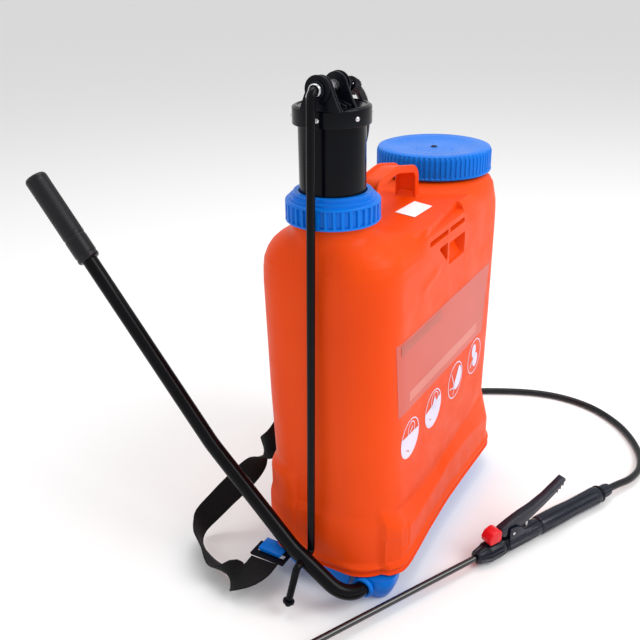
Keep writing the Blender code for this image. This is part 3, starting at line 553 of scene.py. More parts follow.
# X, the ledge's upper edge, the height of its slope, and how far the skirt stands out there.
SKIRT = ((-0.1727, 0.13, 0.022, 0.0), (-0.1712, 0.129, 0.022, 0.008), (-0.157, 0.12, 0.022, 0.0128),
    (-0.135, 0.111, 0.02, 0.0135), (-0.108, 0.105, 0.018, 0.0122), (-0.072, 0.101, 0.015, 0.01),
    (-0.021, 0.1, 0.012, 0.0082), (0.005, 0.106, 0.012, 0.0078), (0.05, 0.112, 0.018, 0.0085),
    (0.098, 0.12, 0.026, 0.01), (0.162, 0.13, 0.05, 0.012), (0.188, 0.132, 0.05, 0.012))


def along_table(table, value):
    """The rest of a table's row at a value of its first column."""
    value = min(max(value, table[0][0]), table[-1][0])
    for (low, *a), (high, *b) in zip(table, table[1:]):
        if value <= high:
            t = (value - low) / (high - low)
            return [p + (q - p) * t for p, q in zip(a, b)]
    return list(table[-1][1:])


def level_at(z, x=-HALF_WIDTH):
    """How far the side, front and back stand in at a height; the front is squarer away from the pump."""
    side, front, back = along_table(TANK_LEVELS, z)
    if z > SHOULDER:
        side *= 0.72
        front *= 1 - 0.68 * step(x, -0.135, -0.075)
    return side, front, back


def front_shift(x, z):
    """How far a point of the tank's front moves out towards -Y; pockets are negative."""
    top, slope, reach = along_table(SKIRT, x)
    out = reach * min(1.0, max(0.0, (top - z) / slope))
    if LIP_TOP < z < 0.11:
        for place, low, high in ((-0.163, 0.052, 0.086), (-0.144, 0.064, 0.098)):
            out -= 0.0014 * between(x, place - 0.0085, place + 0.0085, 0.0014) * between(z, low, high, 0.0018)
    pocket = 0.0
    if SCOOP[0] < x < SCOOP[1] + 0.007 and z > 0.378:
        slot = between(z, 0.4235, 0.429, 0.001)
        pocket += 0.012 * slot * between(x, -0.076, -0.0225, 0.0015)
        pocket += 0.012 * slot * between(x, -0.0155, 0.0335, 0.0015)
        left = step(x, -0.0462, -0.044) * (1 - step(x, -0.0248, -0.0232)) * (1 - step(z, 0.4115, 0.4128))
        floor = 0.4128 - 0.021 * (x + 0.0475) / 0.024
        pocket += 0.014 * left * step(z, floor - 0.001, floor + 0.0015)
        right = step(x, -0.0168, -0.0152) * (1 - step(x, 0.0322, 0.0338)) * (1 - step(z, 0.409, 0.4103))
        pocket += 0.016 * right * math.sqrt(min(1.0, max(0.0, (z - 0.3835) / 0.022)))
    ridge = 0.0012 * math.exp(-(((z - 0.382 - 0.22 * (x + 0.075)) / 0.006) ** 2)) * between(x, -0.11, -0.03,
        0.03)
    return out - pocket + ridge


def scooped(x, y, z):
    """Y of the front round the hand scoop: flat up to the bar, then a wall that leans in to the right."""
    if z < 0.4:
        return y
    inside = step(x, SCOOP[0] - 0.022, SCOOP[0] + 0.002) * (1 - step(x, SCOOP[1] - 0.0016, SCOOP[1]))
    wall = FRONT + 0.001 + 0.0105 * (x + 0.086) / 0.116
    held = FRONT + 0.0004 + (wall - FRONT) * step(z, BAR_TOP - 0.0004, BAR_TOP + 0.0004)
    return y + (held - y) * inside * step(z, 0.4, 0.415)


def tank_ring(z):
    arc = 44
    side, _, back = level_at(z)
    half, high_y = HALF_WIDTH - side, BACK - back
    corners = ((1, 1, 0.0), (-1, 1, 0.5 * math.pi), (-1, -1, math.pi), (1, -1, 1.5 * math.pi))
    spans = (40, 14, 190, 14)
    points = []
    for (sx, sy, start), span, after in zip(corners, spans, corners[1:] + corners[:1]):
        def at(sx, sy, angle):
            x = sx * (half - CORNER) + CORNER * math.cos(angle)
            edge = high_y - CORNER if sy > 0 else FRONT + level_at(z, x)[1] + CORNER
            return Vector((x, edge + CORNER * math.sin(angle), angle))
        for k in range(arc + 1):
            points.append(at(sx, sy, start + 0.5 * math.pi * k / arc))
        first, last = points[-1], at(after[0], after[1], after[2])
        for k in range(1, span):
            p = first.lerp(last, k / span)
            if span > 100:
                p.y = FRONT + level_at(z, p.x)[1]
            points.append(Vector((p.x, p.y, first.z)))
    made = []
    for x, y, angle in points:
        facing = max(0.0, -math.sin(angle))
        if facing > 0:
            y = scooped(x, y, z) - front_shift(x, z) * min(1.0, 1.6 * facing)
        elif y > 0.05:
            pad = between(x, -0.125, 0.125, 0.03) * between(z, 0.14, 0.385, 0.03)
            y -= 0.006 * pad
            for groove in (-0.06, 0.0, 0.06):
                y += 0.0025 * pad * math.exp(-(((x - groove) / 0.004) ** 2))
        bulge = 0.008 * (1 - step(z, 0.147, 0.163)) * step(z, 0.06, 0.085)
        turn = abs(abs(angle - 0.5 * math.pi) - 0.25 * math.pi) / (0.25 * math.pi)
        if y > 0.03 and turn < 1:
            x += math.cos(angle) * bulge * (1 - turn) ** 0.5
            y += math.sin(angle) * bulge * (1 - turn) ** 0.5
        made.append((x, y, z))
    return made


def outline_distance(x, y, z):
    """Below zero inside the tank's outline at a height."""
    side, front, back = level_at(z, x)
    dx = abs(x) - (HALF_WIDTH - side - CORNER)
    dy = (y - (BACK - back - CORNER)) if y > 0 else (FRONT + front + CORNER - y)
    return math.hypot(max(dx, 0.0), max(dy, 0.0)) + min(max(dx, dy), 0.0) - CORNER


def ground(x, y):
    """Height of the tank's rounded top under a point, down to where its sides start."""
    low, high = 0.392, TANK_TOP
    if outline_distance(x, y, high) < 0:
        return high
    for _ in range(18):
        middle = 0.5 * (low + high)
        if outline_distance(x, y, middle) < 0:
            low = middle
        else:
            high = middle
    return low


def draped_neck(name, place, top, wall, flare, inner):
    """A neck flared out over the tank's rounded top; flare holds (radius, height above the tank)."""
    steps = 160
    points = []
    rows = [(inner, top - 0.0006, None), (inner + 0.0006, top, None), (wall - 0.0006, top, None),
        (wall, top - 0.0006, None)] + [(radius, None, height) for radius,
        height in flare] + [(inner, 0.4, None)]
    for radius, z, height in rows:
        for i in range(steps):
            angle = 2 * math.pi * i / steps
            x, y = polar(radius, angle, place.x, place.y)
            if height is not None:
                pulled = radius
                while outline_distance(x, y, 0.41) > -0.0012 and pulled > inner:
                    pulled -= 0.0005
                    x, y = polar(pulled, angle, place.x, place.y)
                height_here = height if pulled == radius else min(height, 0.004) - 0.004
                points.append((x, y, ground(x, y) + height_here))
            else:
                points.append((x, y, z))
    mesh = mesh_from(name, points, ring_faces(len(rows), steps, True))
    place_piece(name, mesh, *TANK, (), 50.0)


def make_tank():
    heights = [0.038, 0.0388, 0.0396, 0.0406, 0.0416, 0.0424, 0.0434, 0.0444, 0.0456, 0.047, 0.0484, 0.0498,
        0.0512, 0.0526, 0.0542, 0.056]
    spacings = ((0.165, 0.0016), (0.372, 0.007), (0.445, 0.0009))
    z = 0.0575
    for end, spacing in spacings:
        while z < end:
            heights.append(z)
            z += spacing
    heights += [0.4454, 0.4459, 0.4463, 0.4466, 0.4468, 0.447]
    points = []
    for z in heights:
        ring = tank_ring(z)
        points += ring
    rim = [Vector(p) for p in ring]
    for t in (0.04, 0.12, 0.3, 0.5, 0.7, 0.86, 0.95):
        points += [p.lerp(Vector((p.x * 0.55, 0.0, TANK_TOP + 0.001)), t) for p in rim]
    faces = ring_faces(len(heights) + 7, len(rim), False)
    place_piece("tank_body", mesh_from("tank_body", points, faces), *TANK, ("tank_shell",), 34.0)
    draped_neck("pump_neck", PUMP, 0.478, 0.0445, [(0.0445, 0.015), (0.045, 0.011), (0.0462, 0.0078),
        (0.0485, 0.0052), (0.052, 0.0034), (0.056, 0.0022), (0.061, 0.0012), (0.066, 0.0005),
        (0.071, -0.0006)], 0.0405)
    draped_neck("filler_neck", FILLER, 0.47, 0.065, [(0.065, 0.015), (0.0655, 0.0128), (0.0668, 0.0112),
        (0.07, 0.01), (0.075, 0.0086), (0.08, 0.0066), (0.085, 0.0042), (0.09, 0.002), (0.095, 0.0006),
        (0.099, -0.0006)], 0.0605)
    path = rounded_path([(x, HANDLE_Y, z) for x, z in ((HANDLE_LEFT, 0.44), (HANDLE_LEFT, 0.487),
        (-0.03, 0.4945), (HANDLE_RIGHT, 0.483), (HANDLE_RIGHT, 0.44))], [0.016, 0.06, 0.016], 14)
    half = [(0.0, 0.0022), (0.01, 0.002), (0.0108, 0.004), (0.0126, 0.0044), (0.0138, 0.0036), (0.0141, 0.0),
        (0.0139, -0.0042), (0.013, -0.0052), (0.0112, -0.005), (0.0104, -0.0026), (0.0, -0.0022)]
    section = half + [(-a, b) for a, b in half[-2:0:-1]]
    sweep_piece("carry_handle", path, section, *TANK, start_side=(0, 1, 0), sharp=35.0)
    for name, x in (("handle_foot_left", HANDLE_LEFT), ("handle_foot_right", HANDLE_RIGHT)):
        rings = []
        rows = ((0.443, 1.75), (0.4468, 1.7), (0.4474, 1.45), (0.4484, 1.22), (0.45, 1.08), (0.453, 1.0),
            (0.456, 0.9))
        for z, grow in rows:
            rings += [(x + 0.006 * grow * math.cos(a), HANDLE_Y + (0.015 + 0.006 * (grow - 1)) * math.sin(a),
                z) for a in np.linspace(0, 2 * math.pi, 41)[:-1]]
        place_piece(name, mesh_from(name, rings, ring_faces(len(rows), 40, False)), *TANK, sharp=60.0)


# ---------------------------------------------------------------- label, icons and sticker


def front_face(x, z):
    side, front, _ = level_at(z, x)
    flat = HALF_WIDTH - side - CORNER
    bend = 0.0
    if abs(x) > flat:
        over = min(abs(x) - flat, CORNER * 0.95)
        bend = CORNER - math.sqrt(CORNER**2 - over**2)
    return FRONT + front - front_shift(x, z) + bend


def sheet_on_front(name, outline, lift, material):
    """A thin closed sheet that follows the tank's front inside a four-cornered outline."""
    (ax, az), (bx, bz), (cx, cz), (dx, dz) = outline
    cells = 26
    front, rear = [], []
    for i in range(cells + 1):
        for j in range(cells + 1):
            s, t = i / cells, j / cells
            x = (ax * (1 - s) + bx * s) * (1 - t) + (dx * (1 - s) + cx * s) * t
            z = (az * (1 - s) + bz * s) * (1 - t) + (dz * (1 - s) + cz * s) * t
            y = front_face(x, z) - lift
            front.append((x, y, z))
            rear.append((x, y + 0.00012, z))
    total = len(front)
    faces = []
    for i in range(cells):
        for j in range(cells):
            a = i * (cells + 1) + j
            quad = (a, a + 1, a + cells + 2, a + cells + 1)
            faces.append(quad)
            faces.append(tuple(total + q for q in quad[::-1]))
    rim = [i * (cells + 1) for i in range(cells + 1)]
    rim += [cells * (cells + 1) + j for j in range(1, cells + 1)]
    rim += [i * (cells + 1) + cells for i in range(cells - 1, -1, -1)]
    rim += list(range(cells - 1, 0, -1))
    for k, a in enumerate(rim):
        b = rim[(k + 1) % len(rim)]
        faces.append((a, b, total + b, total + a))
    place_piece(name, mesh_from(name, front + rear, faces), material, "root", "label")


def printed(name, shapes, material, lift):
    """Flat printed shapes on the tank's front, each a list of (x, z), made as one thin piece."""
    bm = bmesh.new()
    for shape in shapes:
        near = [bm.verts.new((x, front_face(x, z) - lift, z)) for x, z in shape]
        far = [bm.verts.new((x, front_face(x, z) - lift + 0.0001, z)) for x, z in shape]
        bm.faces.new(near)
        bm.faces.new(far[::-1])
        for i in range(len(near)):
            j = (i + 1) % len(near)
            bm.faces.new((near[i], far[i], far[j], near[j]))
    bmesh.ops.recalc_face_normals(bm, faces=bm.faces[:])
    place_piece(name, mesh_of(bm, name), material, "root", "sticker")


def disc_shape(x, z, radius, squash):
    return [(x + radius * math.cos(a), z + radius * squash * math.sin(a)) for a in np.linspace(0,
        2 * math.pi, 17)[:-1]]


def stroke(points, width):
    """A thick line through points, as one outline."""
    points = [Vector(p) for p in points]
    left, right = [], []
    for i, p in enumerate(points):
        along = (points[min(i + 1, len(points) - 1)] - points[max(i - 1, 0)]).normalized()
        across = Vector((-along.y, along.x)) * 0.5 * width
        left.append(tuple(p + across))
        right.append(tuple(p - across))
    return left + right[::-1]


def inner_corners(corners, share_x0, share_x1, share_z0, share_z1):
    """A smaller four-cornered outline inside a label's corners, by shares of its width and height."""
    (ax, az), (bx, bz), (cx, cz), (dx, dz) = corners

    def at(s, t):
        x = (ax * (1 - s) + bx * s) * t + (dx * (1 - s) + cx * s) * (1 - t)
        z = (az * (1 - s) + bz * s) * t + (dz * (1 - s) + cz * s) * (1 - t)
        return x, z

    return at(share_x0, share_z1), at(share_x1, share_z1), at(share_x1, share_z0), at(share_x0, share_z0)


def ring_shapes(x, z, inner, outer, parts=36):
    shapes = []
    for k in range(parts):
        a, b = 2 * math.pi * k / parts, 2 * math.pi * (k + 1) / parts
        corners = ((inner, a), (outer, a), (outer, b), (inner, b))
        shapes.append([polar(radius, angle, x, z) for radius, angle in corners])
    return shapes


def lower_fill(x, z, radius, tilt):
    """The filled lower part of a round sign, cut off by a chord at a tilt."""
    angles = np.linspace(math.pi + tilt - 0.25, 2 * math.pi + tilt + 0.25, 25)
    return [polar(radius, angle, x, z) for angle in angles]


def make_label():
    corners = ((-0.158, 0.337), (0.138, 0.335), (0.123, 0.238), (-0.151, 0.244))
    sheet_on_front("label_panel", corners, 0.0004, LABEL)
    sheet_on_front("label_bar", inner_corners(corners, 0.03, 0.42, 0.84, 0.96), 0.0006, LABEL_DARK)
    sheet_on_front("label_band", inner_corners(corners, 0.1, 0.9, 0.1, 0.24), 0.0006, LABEL_LIGHT)
    icons = ((-0.118, 0.2015), (-0.048, 0.2045), (0.027, 0.2075), (0.099, 0.21))
    rings, fills, marks = [], [], []
    for x, z in icons:
        rings += ring_shapes(x, z, 0.024, 0.0255)
    basin, splash, spill, plant = icons

    def line(centre, offsets, width):
        return stroke([(centre[0] + x, centre[1] + z) for x, z in offsets], width)

    def disc(centre, x, z, radius, squash):
        return disc_shape(centre[0] + x, centre[1] + z, radius, squash)

    x, z = basin
    rings += ring_shapes(x + 0.003, z + 0.011, 0.0085, 0.0098, 24)
    fills += [lower_fill(x, z, 0.0238, -0.1), line(basin, ((-0.001, 0.008), (0.007, 0.013)), 0.0018)]
    marks.append(line(basin, ((-0.01, -0.012), (-0.002, -0.017)), 0.0014))
    x, z = splash
    rings += ring_shapes(x + 0.004, z + 0.01, 0.01, 0.0112, 24)
    fills += [lower_fill(x, z, 0.0238, 0.15), [(x - 0.002, z + 0.006), (x + 0.009, z + 0.006),
        (x + 0.004, z + 0.016)]]
    marks.append(line(splash, ((-0.012, -0.01), (-0.006, -0.013)), 0.0014))
    x, z = spill
    fills += [lower_fill(x + 0.006, z + 0.001, 0.0165, 0.95), line(spill,
        ((-0.014, 0.014), (-0.002, -0.01), (-0.006, -0.02)), 0.0016),
        line(spill, ((-0.019, -0.006), (-0.002, -0.01)), 0.0016)]
    fills += [disc(plant, -0.003, 0.009, 0.0078, 1.25), disc(plant, 0.004, -0.007, 0.0095, 1.1),
        line(plant, ((-0.015, -0.012), (-0.006, -0.005)), 0.0024)]
    printed("icon_rings", rings, ICON, 0.00045)
    printed("icon_fills", fills, ICON, 0.00045)
    printed("icon_marks", marks, ICON_LINE, 0.00065)
    corners = ((-0.045, -0.026), (0.006, -0.028), (-0.004, -0.055), (-0.053, -0.054))
    low = [(x, y, TANK_TOP + 0.0009) for x, y in corners]
    high = [(x, y, z + 0.0003) for x, y, z in low]
    place_piece("paper_sticker", mesh_from("paper_sticker", low + high, ring_faces(2, 4, False)), STICKER,
        "root", "sticker")


# ---------------------------------------------------------------- pump


def make_pump():
    profile = [(0.036, 0.4968), (0.0364, 0.4972), (0.0412, 0.4972), (0.0416, 0.4968), (0.0418, 0.4928),
        (0.0424, 0.4922), (0.0456, 0.4922), (0.046, 0.4918), (0.0462, 0.4893), (0.0468, 0.4889),
        (0.0486, 0.4888), (0.0498, 0.4884), (0.0504, 0.4874), (0.0505, 0.4862), (0.0505, 0.4856),
        (0.0505, 0.469), (0.0505, 0.4684), (0.0508, 0.4672), (0.0505, 0.4662), (0.0495, 0.4659),
        (0.045, 0.466), (0.045, 0.483), (0.036, 0.4833)]
    lathe_piece("ring_nut_body", profile, BLUE, "ring_nut", "blue_plastic", PUMP, replaced=("ring_nut",),
        steps=720, ribs=flutes(36, (14, 15), 0.0023, 0.14, 0.86, 0.1), closed=True, sharp=40.0)

    wall = [(AXIS, 0.5797), (CHAMBER_RADIUS - 0.002, 0.5797), (CHAMBER_RADIUS, 0.578),
        (CHAMBER_RADIUS, 0.232), (CHAMBER_RADIUS - 0.001, 0.2303), (0.0318, 0.2303), (0.0318, 0.5757),
        (AXIS, 0.5757)]
    lathe_piece("chamber_body", wall, *CHAMBER, PUMP, replaced=("pressure_chamber",), steps=128)
    lid = [(AXIS, 0.584), (0.0385, 0.584), (0.04, 0.5836), (0.0405, 0.5826), (0.0406, 0.5668),
        (0.0402, 0.5661), (0.0356, 0.566), (0.0356, 0.58), (AXIS, 0.58)]
    lathe_piece("chamber_lid", lid, *CHAMBER, PUMP, replaced=("chamber_cap",), steps=144, round_by=0.0004)
    lid_rim = [(0.0352, 0.5839), (0.0352, 0.5846), (0.036, 0.5849), (0.0372, 0.5849), (0.038, 0.5846),
        (0.038, 0.5839)]
    lathe_piece("chamber_lid_rim", lid_rim, *CHAMBER, PUMP, closed=True, steps=144, round_by=0.0)
    for index in range(6):
        angle = math.radians(-173 + 60 * index)
        outwards = Vector((*polar(1.0, angle), 0))
        head = [(AXIS, 0.0012), (0.0012, 0.0011), (0.0022, 0.0006), (0.0026, 0.0), (0.0026, -0.001),
            (AXIS, -0.001)]
        lathe_piece(f"lid_pin_{index + 1}", head, STEEL, "chamber", "bright_steel",
            PUMP + outwards * 0.0406 + Vector((0, 0, 0.5745)), axis=outwards, steps=20, round_by=0.0)
    make_head()


def make_head():
    """The bracket on the chamber: two cheeks with round eyes, gussets and the link rod's discs."""
    y, z = LINK_HIGH.y, LINK_HIGH.z
    foot = 0.5843

    def cheek(name, low, high, replaced=()):
        outline = [(0.012, foot), (0.009, foot + 0.008)]
        for k in range(25):
            angle = math.radians(20 + 150 * k / 24)
            outline.append(polar(0.0128, angle, y, z))
        outline += [(-0.03, foot + 0.005), (-0.033, foot)]
        bevelled(name, outline, low, high, sideways, *HEAD, replaced, width=0.0005)

    cheek("bracket_cheek_outer", -0.1885, -0.1852, ("head_bracket",))
    cheek("bracket_cheek_mid", -0.1838, -0.1815)
    cheek("bracket_cheek_inner", -0.156, -0.1525)
    bevelled("bracket_foot", [(-0.022, foot - 0.0002), (0.01, foot - 0.0002), (0.009, foot + 0.004),
        (-0.021, foot + 0.004)], -0.184, -0.15, sideways, *HEAD, width=0.0006)
    for name, x in (("gusset_outer", -0.17), ("gusset_inner", -0.1615)):
        outline = [(-0.03, foot - 0.0002), (-0.03, foot + 0.004), (-0.006, foot + 0.0125),
            (0.008, foot + 0.004), (0.008, foot - 0.0002)]
        bevelled(name, outline, x - 0.0012, x + 0.0012, sideways, *HEAD, width=0.0004)
    shaft = (0, y, z)
    for name, x, radius in (("disc_flange_a", -0.1915, 0.0136), ("disc_flange_b", -0.19, 0.0128)):
        lathe_piece(name, [(0.0048, 0.0009), (radius, 0.0009), (radius, 0.0), (0.0048, 0.0)], *DISC,
            (x, y, z), axis=(1, 0, 0), replaced=("link_disc_outer",) if name.endswith("_a") else (),
            closed=True, steps=72, round_by=0.0002)
    lathe_piece("disc_hub", [(0.0046, 0.0), (0.008, 0.0), (0.0086, -0.0014), (0.008, -0.0026),
        (0.0046, -0.003)], *DISC, (-0.1915, y, z), axis=(1, 0, 0), closed=True, steps=48, round_by=0.0004)
    rear = [(0.0132, -0.1478), (0.0132, -0.1494), (0.0118, -0.1497), (0.0048, -0.1497), (0.0048, -0.142),
        (0.0074, -0.142), (0.0078, -0.1428), (0.0078, -0.1475), (0.0118, -0.1475)]
    lathe_piece("disc_rear", rear, *DISC, shaft, axis=(1, 0, 0), replaced=("link_disc_inner",), closed=True,
        steps=72, round_by=0.0003)
    lathe_piece("hook_sleeve", [(0.0047, -0.18), (0.0047, -0.157), (0.0058, -0.157), (0.0058, -0.18)],
        *BRIGHT_LINK, shaft, axis=(1, 0, 0), closed=True, steps=48, round_by=0.0003)
    coils = [(-0.1975 + 0.004 * k / 48, *polar(0.0056, 2 * math.pi * k / 24, y, z)) for k in range(49)]
    tail = [(-0.1975, y + 0.0085, z - 0.006), (-0.198, y + 0.0045, z - 0.014)]
    sweep_piece("hook_cotter", tail[::-1] + coils, circle(0.0007, 10), *BRIGHT_LINK, start_side=(1, 0, 0))
    elbow_path = rounded_path([(-0.118, 0.004, foot), (-0.118, 0.004, 0.599), (-0.105, 0.002, 0.599)],
        [0.007], 12)
    sweep_piece("elbow_body", elbow_path, circle(0.0052, 28), BLACK, "chamber", "black_plastic",
        ("outlet_elbow",), (0, 1, 0))
    hexed = [(0.0085, 0.012), (0.0085, 0.001), (0.0054, 0.001), (0.0054, 0.012)]
    lathe_piece("hose_gland", hexed, BLACK, "chamber", "black_plastic", (-0.105, 0.002, 0.599),
        (0.9, -0.1, -0.42), ("hose_nut_top",), steps=72, closed=True, ribs=lambda angle,
        level: 0.0004 * math.cos(18 * angle) if level < 2 else 0.0)


# ---------------------------------------------------------------- filler


def make_filler():
    profile = [(0.0032, 0.4868), (0.02, 0.4866), (0.048, 0.487), (0.056, 0.4884), (0.069, 0.4899),
        (0.0735, 0.4886), (0.0752, 0.4852), (0.0756, 0.4835), (0.0757, 0.464), (0.0757, 0.4625),
        (0.0762, 0.461), (0.0758, 0.4594), (0.0745, 0.459), (0.065, 0.4592), (0.065, 0.4746), (0.0032, 0.4746)
        ]
    lathe_piece("filler_cap_body", profile, *CAP, FILLER, replaced=("filler_cap",), steps=1080,
        ribs=flutes(72, (6, 7, 8, 9), 0.0013, 0.12, 0.88, 0.16), closed=True, sharp=50.0)
    for index in range(3):
        angle = math.radians(25 + 120 * index)
        place = FILLER + Vector((*polar(0.026, angle), 0.4866))
        lathe_piece(f"cap_dimple_{index + 1}", [(AXIS, 0.0006), (0.0016, 0.0005), (0.0022, 0.0),
            (AXIS, -0.0004)], *CAP, place, steps=24, round_by=0.0)
    vent = [(AXIS, 0.4882), (0.0024, 0.4882), (0.0034, 0.4878), (0.0046, 0.487), (0.003, 0.4866),
        (0.0022, 0.4862), (0.0022, 0.47), (AXIS, 0.47)]
    lathe_piece("vent_plug", vent, SEAL, "filler_cap", "black_plastic", FILLER, replaced=("vent_valve",),
        steps=32, round_by=0.0)


# ---------------------------------------------------------------- lever and link rod


def make_lever():
    straight = Vector((0, math.cos(math.radians(52)), math.sin(math.radians(52))))
    upper_bend = Vector((LEVER_PLANE, 0.13, 0.186))
    grip_start = upper_bend + straight * 0.263
    length = 0.118
    path = rounded_path([grip_start + straight * (length - 0.005), upper_bend, (LEVER_PLANE, 0.02, 0.074),
        tuple(PIVOT), (-0.1102, PIVOT.y, PIVOT.z)], [0.15, 0.06, 0.034], 20)
    sweep_piece("lever_bar", path, circle(LEVER_RADIUS, 32), COATED, "lever", "coated_steel",
        ("lever_tube",), (1, 0, 0))

    rows, turns = 46, 20
    profile = [(AXIS, length), (0.0095, length), (0.012, length - 0.0008), (0.0134, length - 0.003)]
    steps_down = 118
    top, low = length - 0.0045, 0.003
    for k in range(steps_down + 1):
        profile.append((0.0136, top + (low - top) * k / steps_down))
    profile += [(0.0132, 0.0012), (0.0122, 0.0), (0.0096, 0.0)]
    knurl_low = 0.036

    def ribs(angle, level):
        if not 4 <= level <= 4 + steps_down:
            return 0.0
        height = top + (low - top) * (level - 4) / steps_down
        if height > knurl_low:
            strength = step(height, knurl_low, knurl_low + 0.003) * (1 - step(height, top - 0.006,
                top - 0.002))
            ring = math.cos(2 * math.pi * height * rows / length)
            return -0.0006 * strength * (1 - max(0.0, math.cos(turns * angle) * ring)) + 0.0002 * strength
        band = math.exp(-(((height - 0.032) / 0.0012) ** 2)) + math.exp(-(((height - 0.0065) / 0.0012) ** 2))
        return -0.0007 * band

    lathe_piece("lever_handgrip", profile, GRIP_BLACK, "lever", "grip_plastic", grip_start, straight,
        ("lever_grip",), steps=160, ribs=ribs, sharp=60.0)


def make_link():
    tip = Vector((-0.2505, 0.01, 0.0145))
    elbow = Vector((-0.236, LINK_LOW.y, LINK_LOW.z))
    high_end = Vector((-0.14, LINK_HIGH.y, LINK_HIGH.z))
    path = rounded_path([high_end, LINK_HIGH, LINK_LOW, elbow, tip], [0.009, 0.006, 0.006], 12)
    path, scales = dome_ends(path, LINK_RADIUS)
    sweep_piece("link_bar", path, circle(LINK_RADIUS, 24), COATED, "link", "coated_steel", ("link_rod",),
        (0, 1, 0), scales)


# ---------------------------------------------------------------- base


def rounded_rectangle(half_width, front, back, radius, z, corner_steps=14):
    points = []
    corners = ((half_width - radius, back - radius, 0.0), (radius - half_width, back - radius,
        0.5 * math.pi), (radius - half_width, front + radius, math.pi),
        (half_width - radius, front + radius, 1.5 * math.pi))
    for x, y, start in corners:
        for k in range(corner_steps + 1):
            angle = start + 0.5 * math.pi * k / corner_steps
            points.append((*polar(radius, angle, x, y), z))
    return points


def loft_piece(name, rings, material, body, slot, replaced=(), sharp=40.0):
    count = len(rings[0])
    points = [p for ring in rings for p in ring]
    place_piece(name, mesh_from(name, points, ring_faces(len(rings), count, False)), material, body, slot,
        replaced, sharp)


def shifted(half_x, low_y, high_y, centre_x, radius, z):
    return [(x + centre_x, y, z) for x, y, z in rounded_rectangle(half_x, low_y, high_y, radius, z)]


def make_base():
    outline = tank_ring(0.0406)
    plate = []
    for z, inset in ((0.0378, 0.0012), (0.0376, 0.0006), (0.036, 0.0004), (0.0348, 0.0012), (0.0345, 0.0026)):
        plate.append([(x * (1 - inset / 0.19), y * (1 - inset / 0.085), z) for x, y, _ in outline])
    loft_piece("base_plate", plate[::-1], *BASE, ("base_cover",))
    keel = [rounded_rectangle(0.15 - 0.012 * t, -0.044 + 0.009 * t, 0.058 - 0.008 * t, 0.026 - 0.006 * t,
        0.035 * (1 - t)) for t in (0.0, 0.3, 0.6, 0.9)]
    keel.append(rounded_rectangle(0.136, -0.0335, 0.0485, 0.018, 0.0006))
    keel.append(rounded_rectangle(0.134, -0.0315, 0.0465, 0.016, 0.0))
    loft_piece("base_keel", keel, *BASE)
    foot = []
    for t in (0.0, 0.2, 0.4, 0.6, 0.75, 0.87, 0.95, 1.0):
        draw = 0.01 * t**2.2
        foot.append(shifted(0.0245 - draw, -0.0905 + draw, -0.04 - 0.4 * draw, -0.16, 0.02 - 0.5 * draw,
            0.0352 - 0.0348 * t))
    loft_piece("bearing_foot", foot, *BASE)
    wall = [(0.054, 0.035), (0.046, 0.025), (0.034, 0.016), (0.014, 0.011), (-0.01, 0.0105), (-0.03, 0.0125),
        (-0.038, 0.018), (-0.041, 0.035)]
    bevelled("side_wall", wall, -0.188, -0.184, sideways, *BASE, width=0.0012, steps=3)
    lathe_piece("bearing_ring", [(0.0096, -0.185), (0.0096, -0.1905), (0.0125, -0.1905), (0.0135, -0.189),
        (0.0135, -0.185)], *BASE, (0, PIVOT.y, PIVOT.z), axis=(1, 0, 0), closed=True, steps=64,
        round_by=0.0005)
    for side, name in ((-1, "left"), (1, "right")):
        low, high = sorted((side * 0.179, side * 0.201))
        outline = [(0.05, 0.0352), (0.051, 0.0312), (0.054, 0.03), (0.08, 0.03), (0.083, 0.0312),
            (0.084, 0.0352)]
        bevelled(f"strap_lug_{name}", outline, low, high, sideways, *BASE, width=0.0012)


# ---------------------------------------------------------------- lance


def lance_lathe(name, profile, material, body, slot, replaced=(), **options):
    return lathe_piece(name, profile, material, body, slot, axis=(1, 0, 0), replaced=replaced,
        frame_matrix=LANCE, **options)


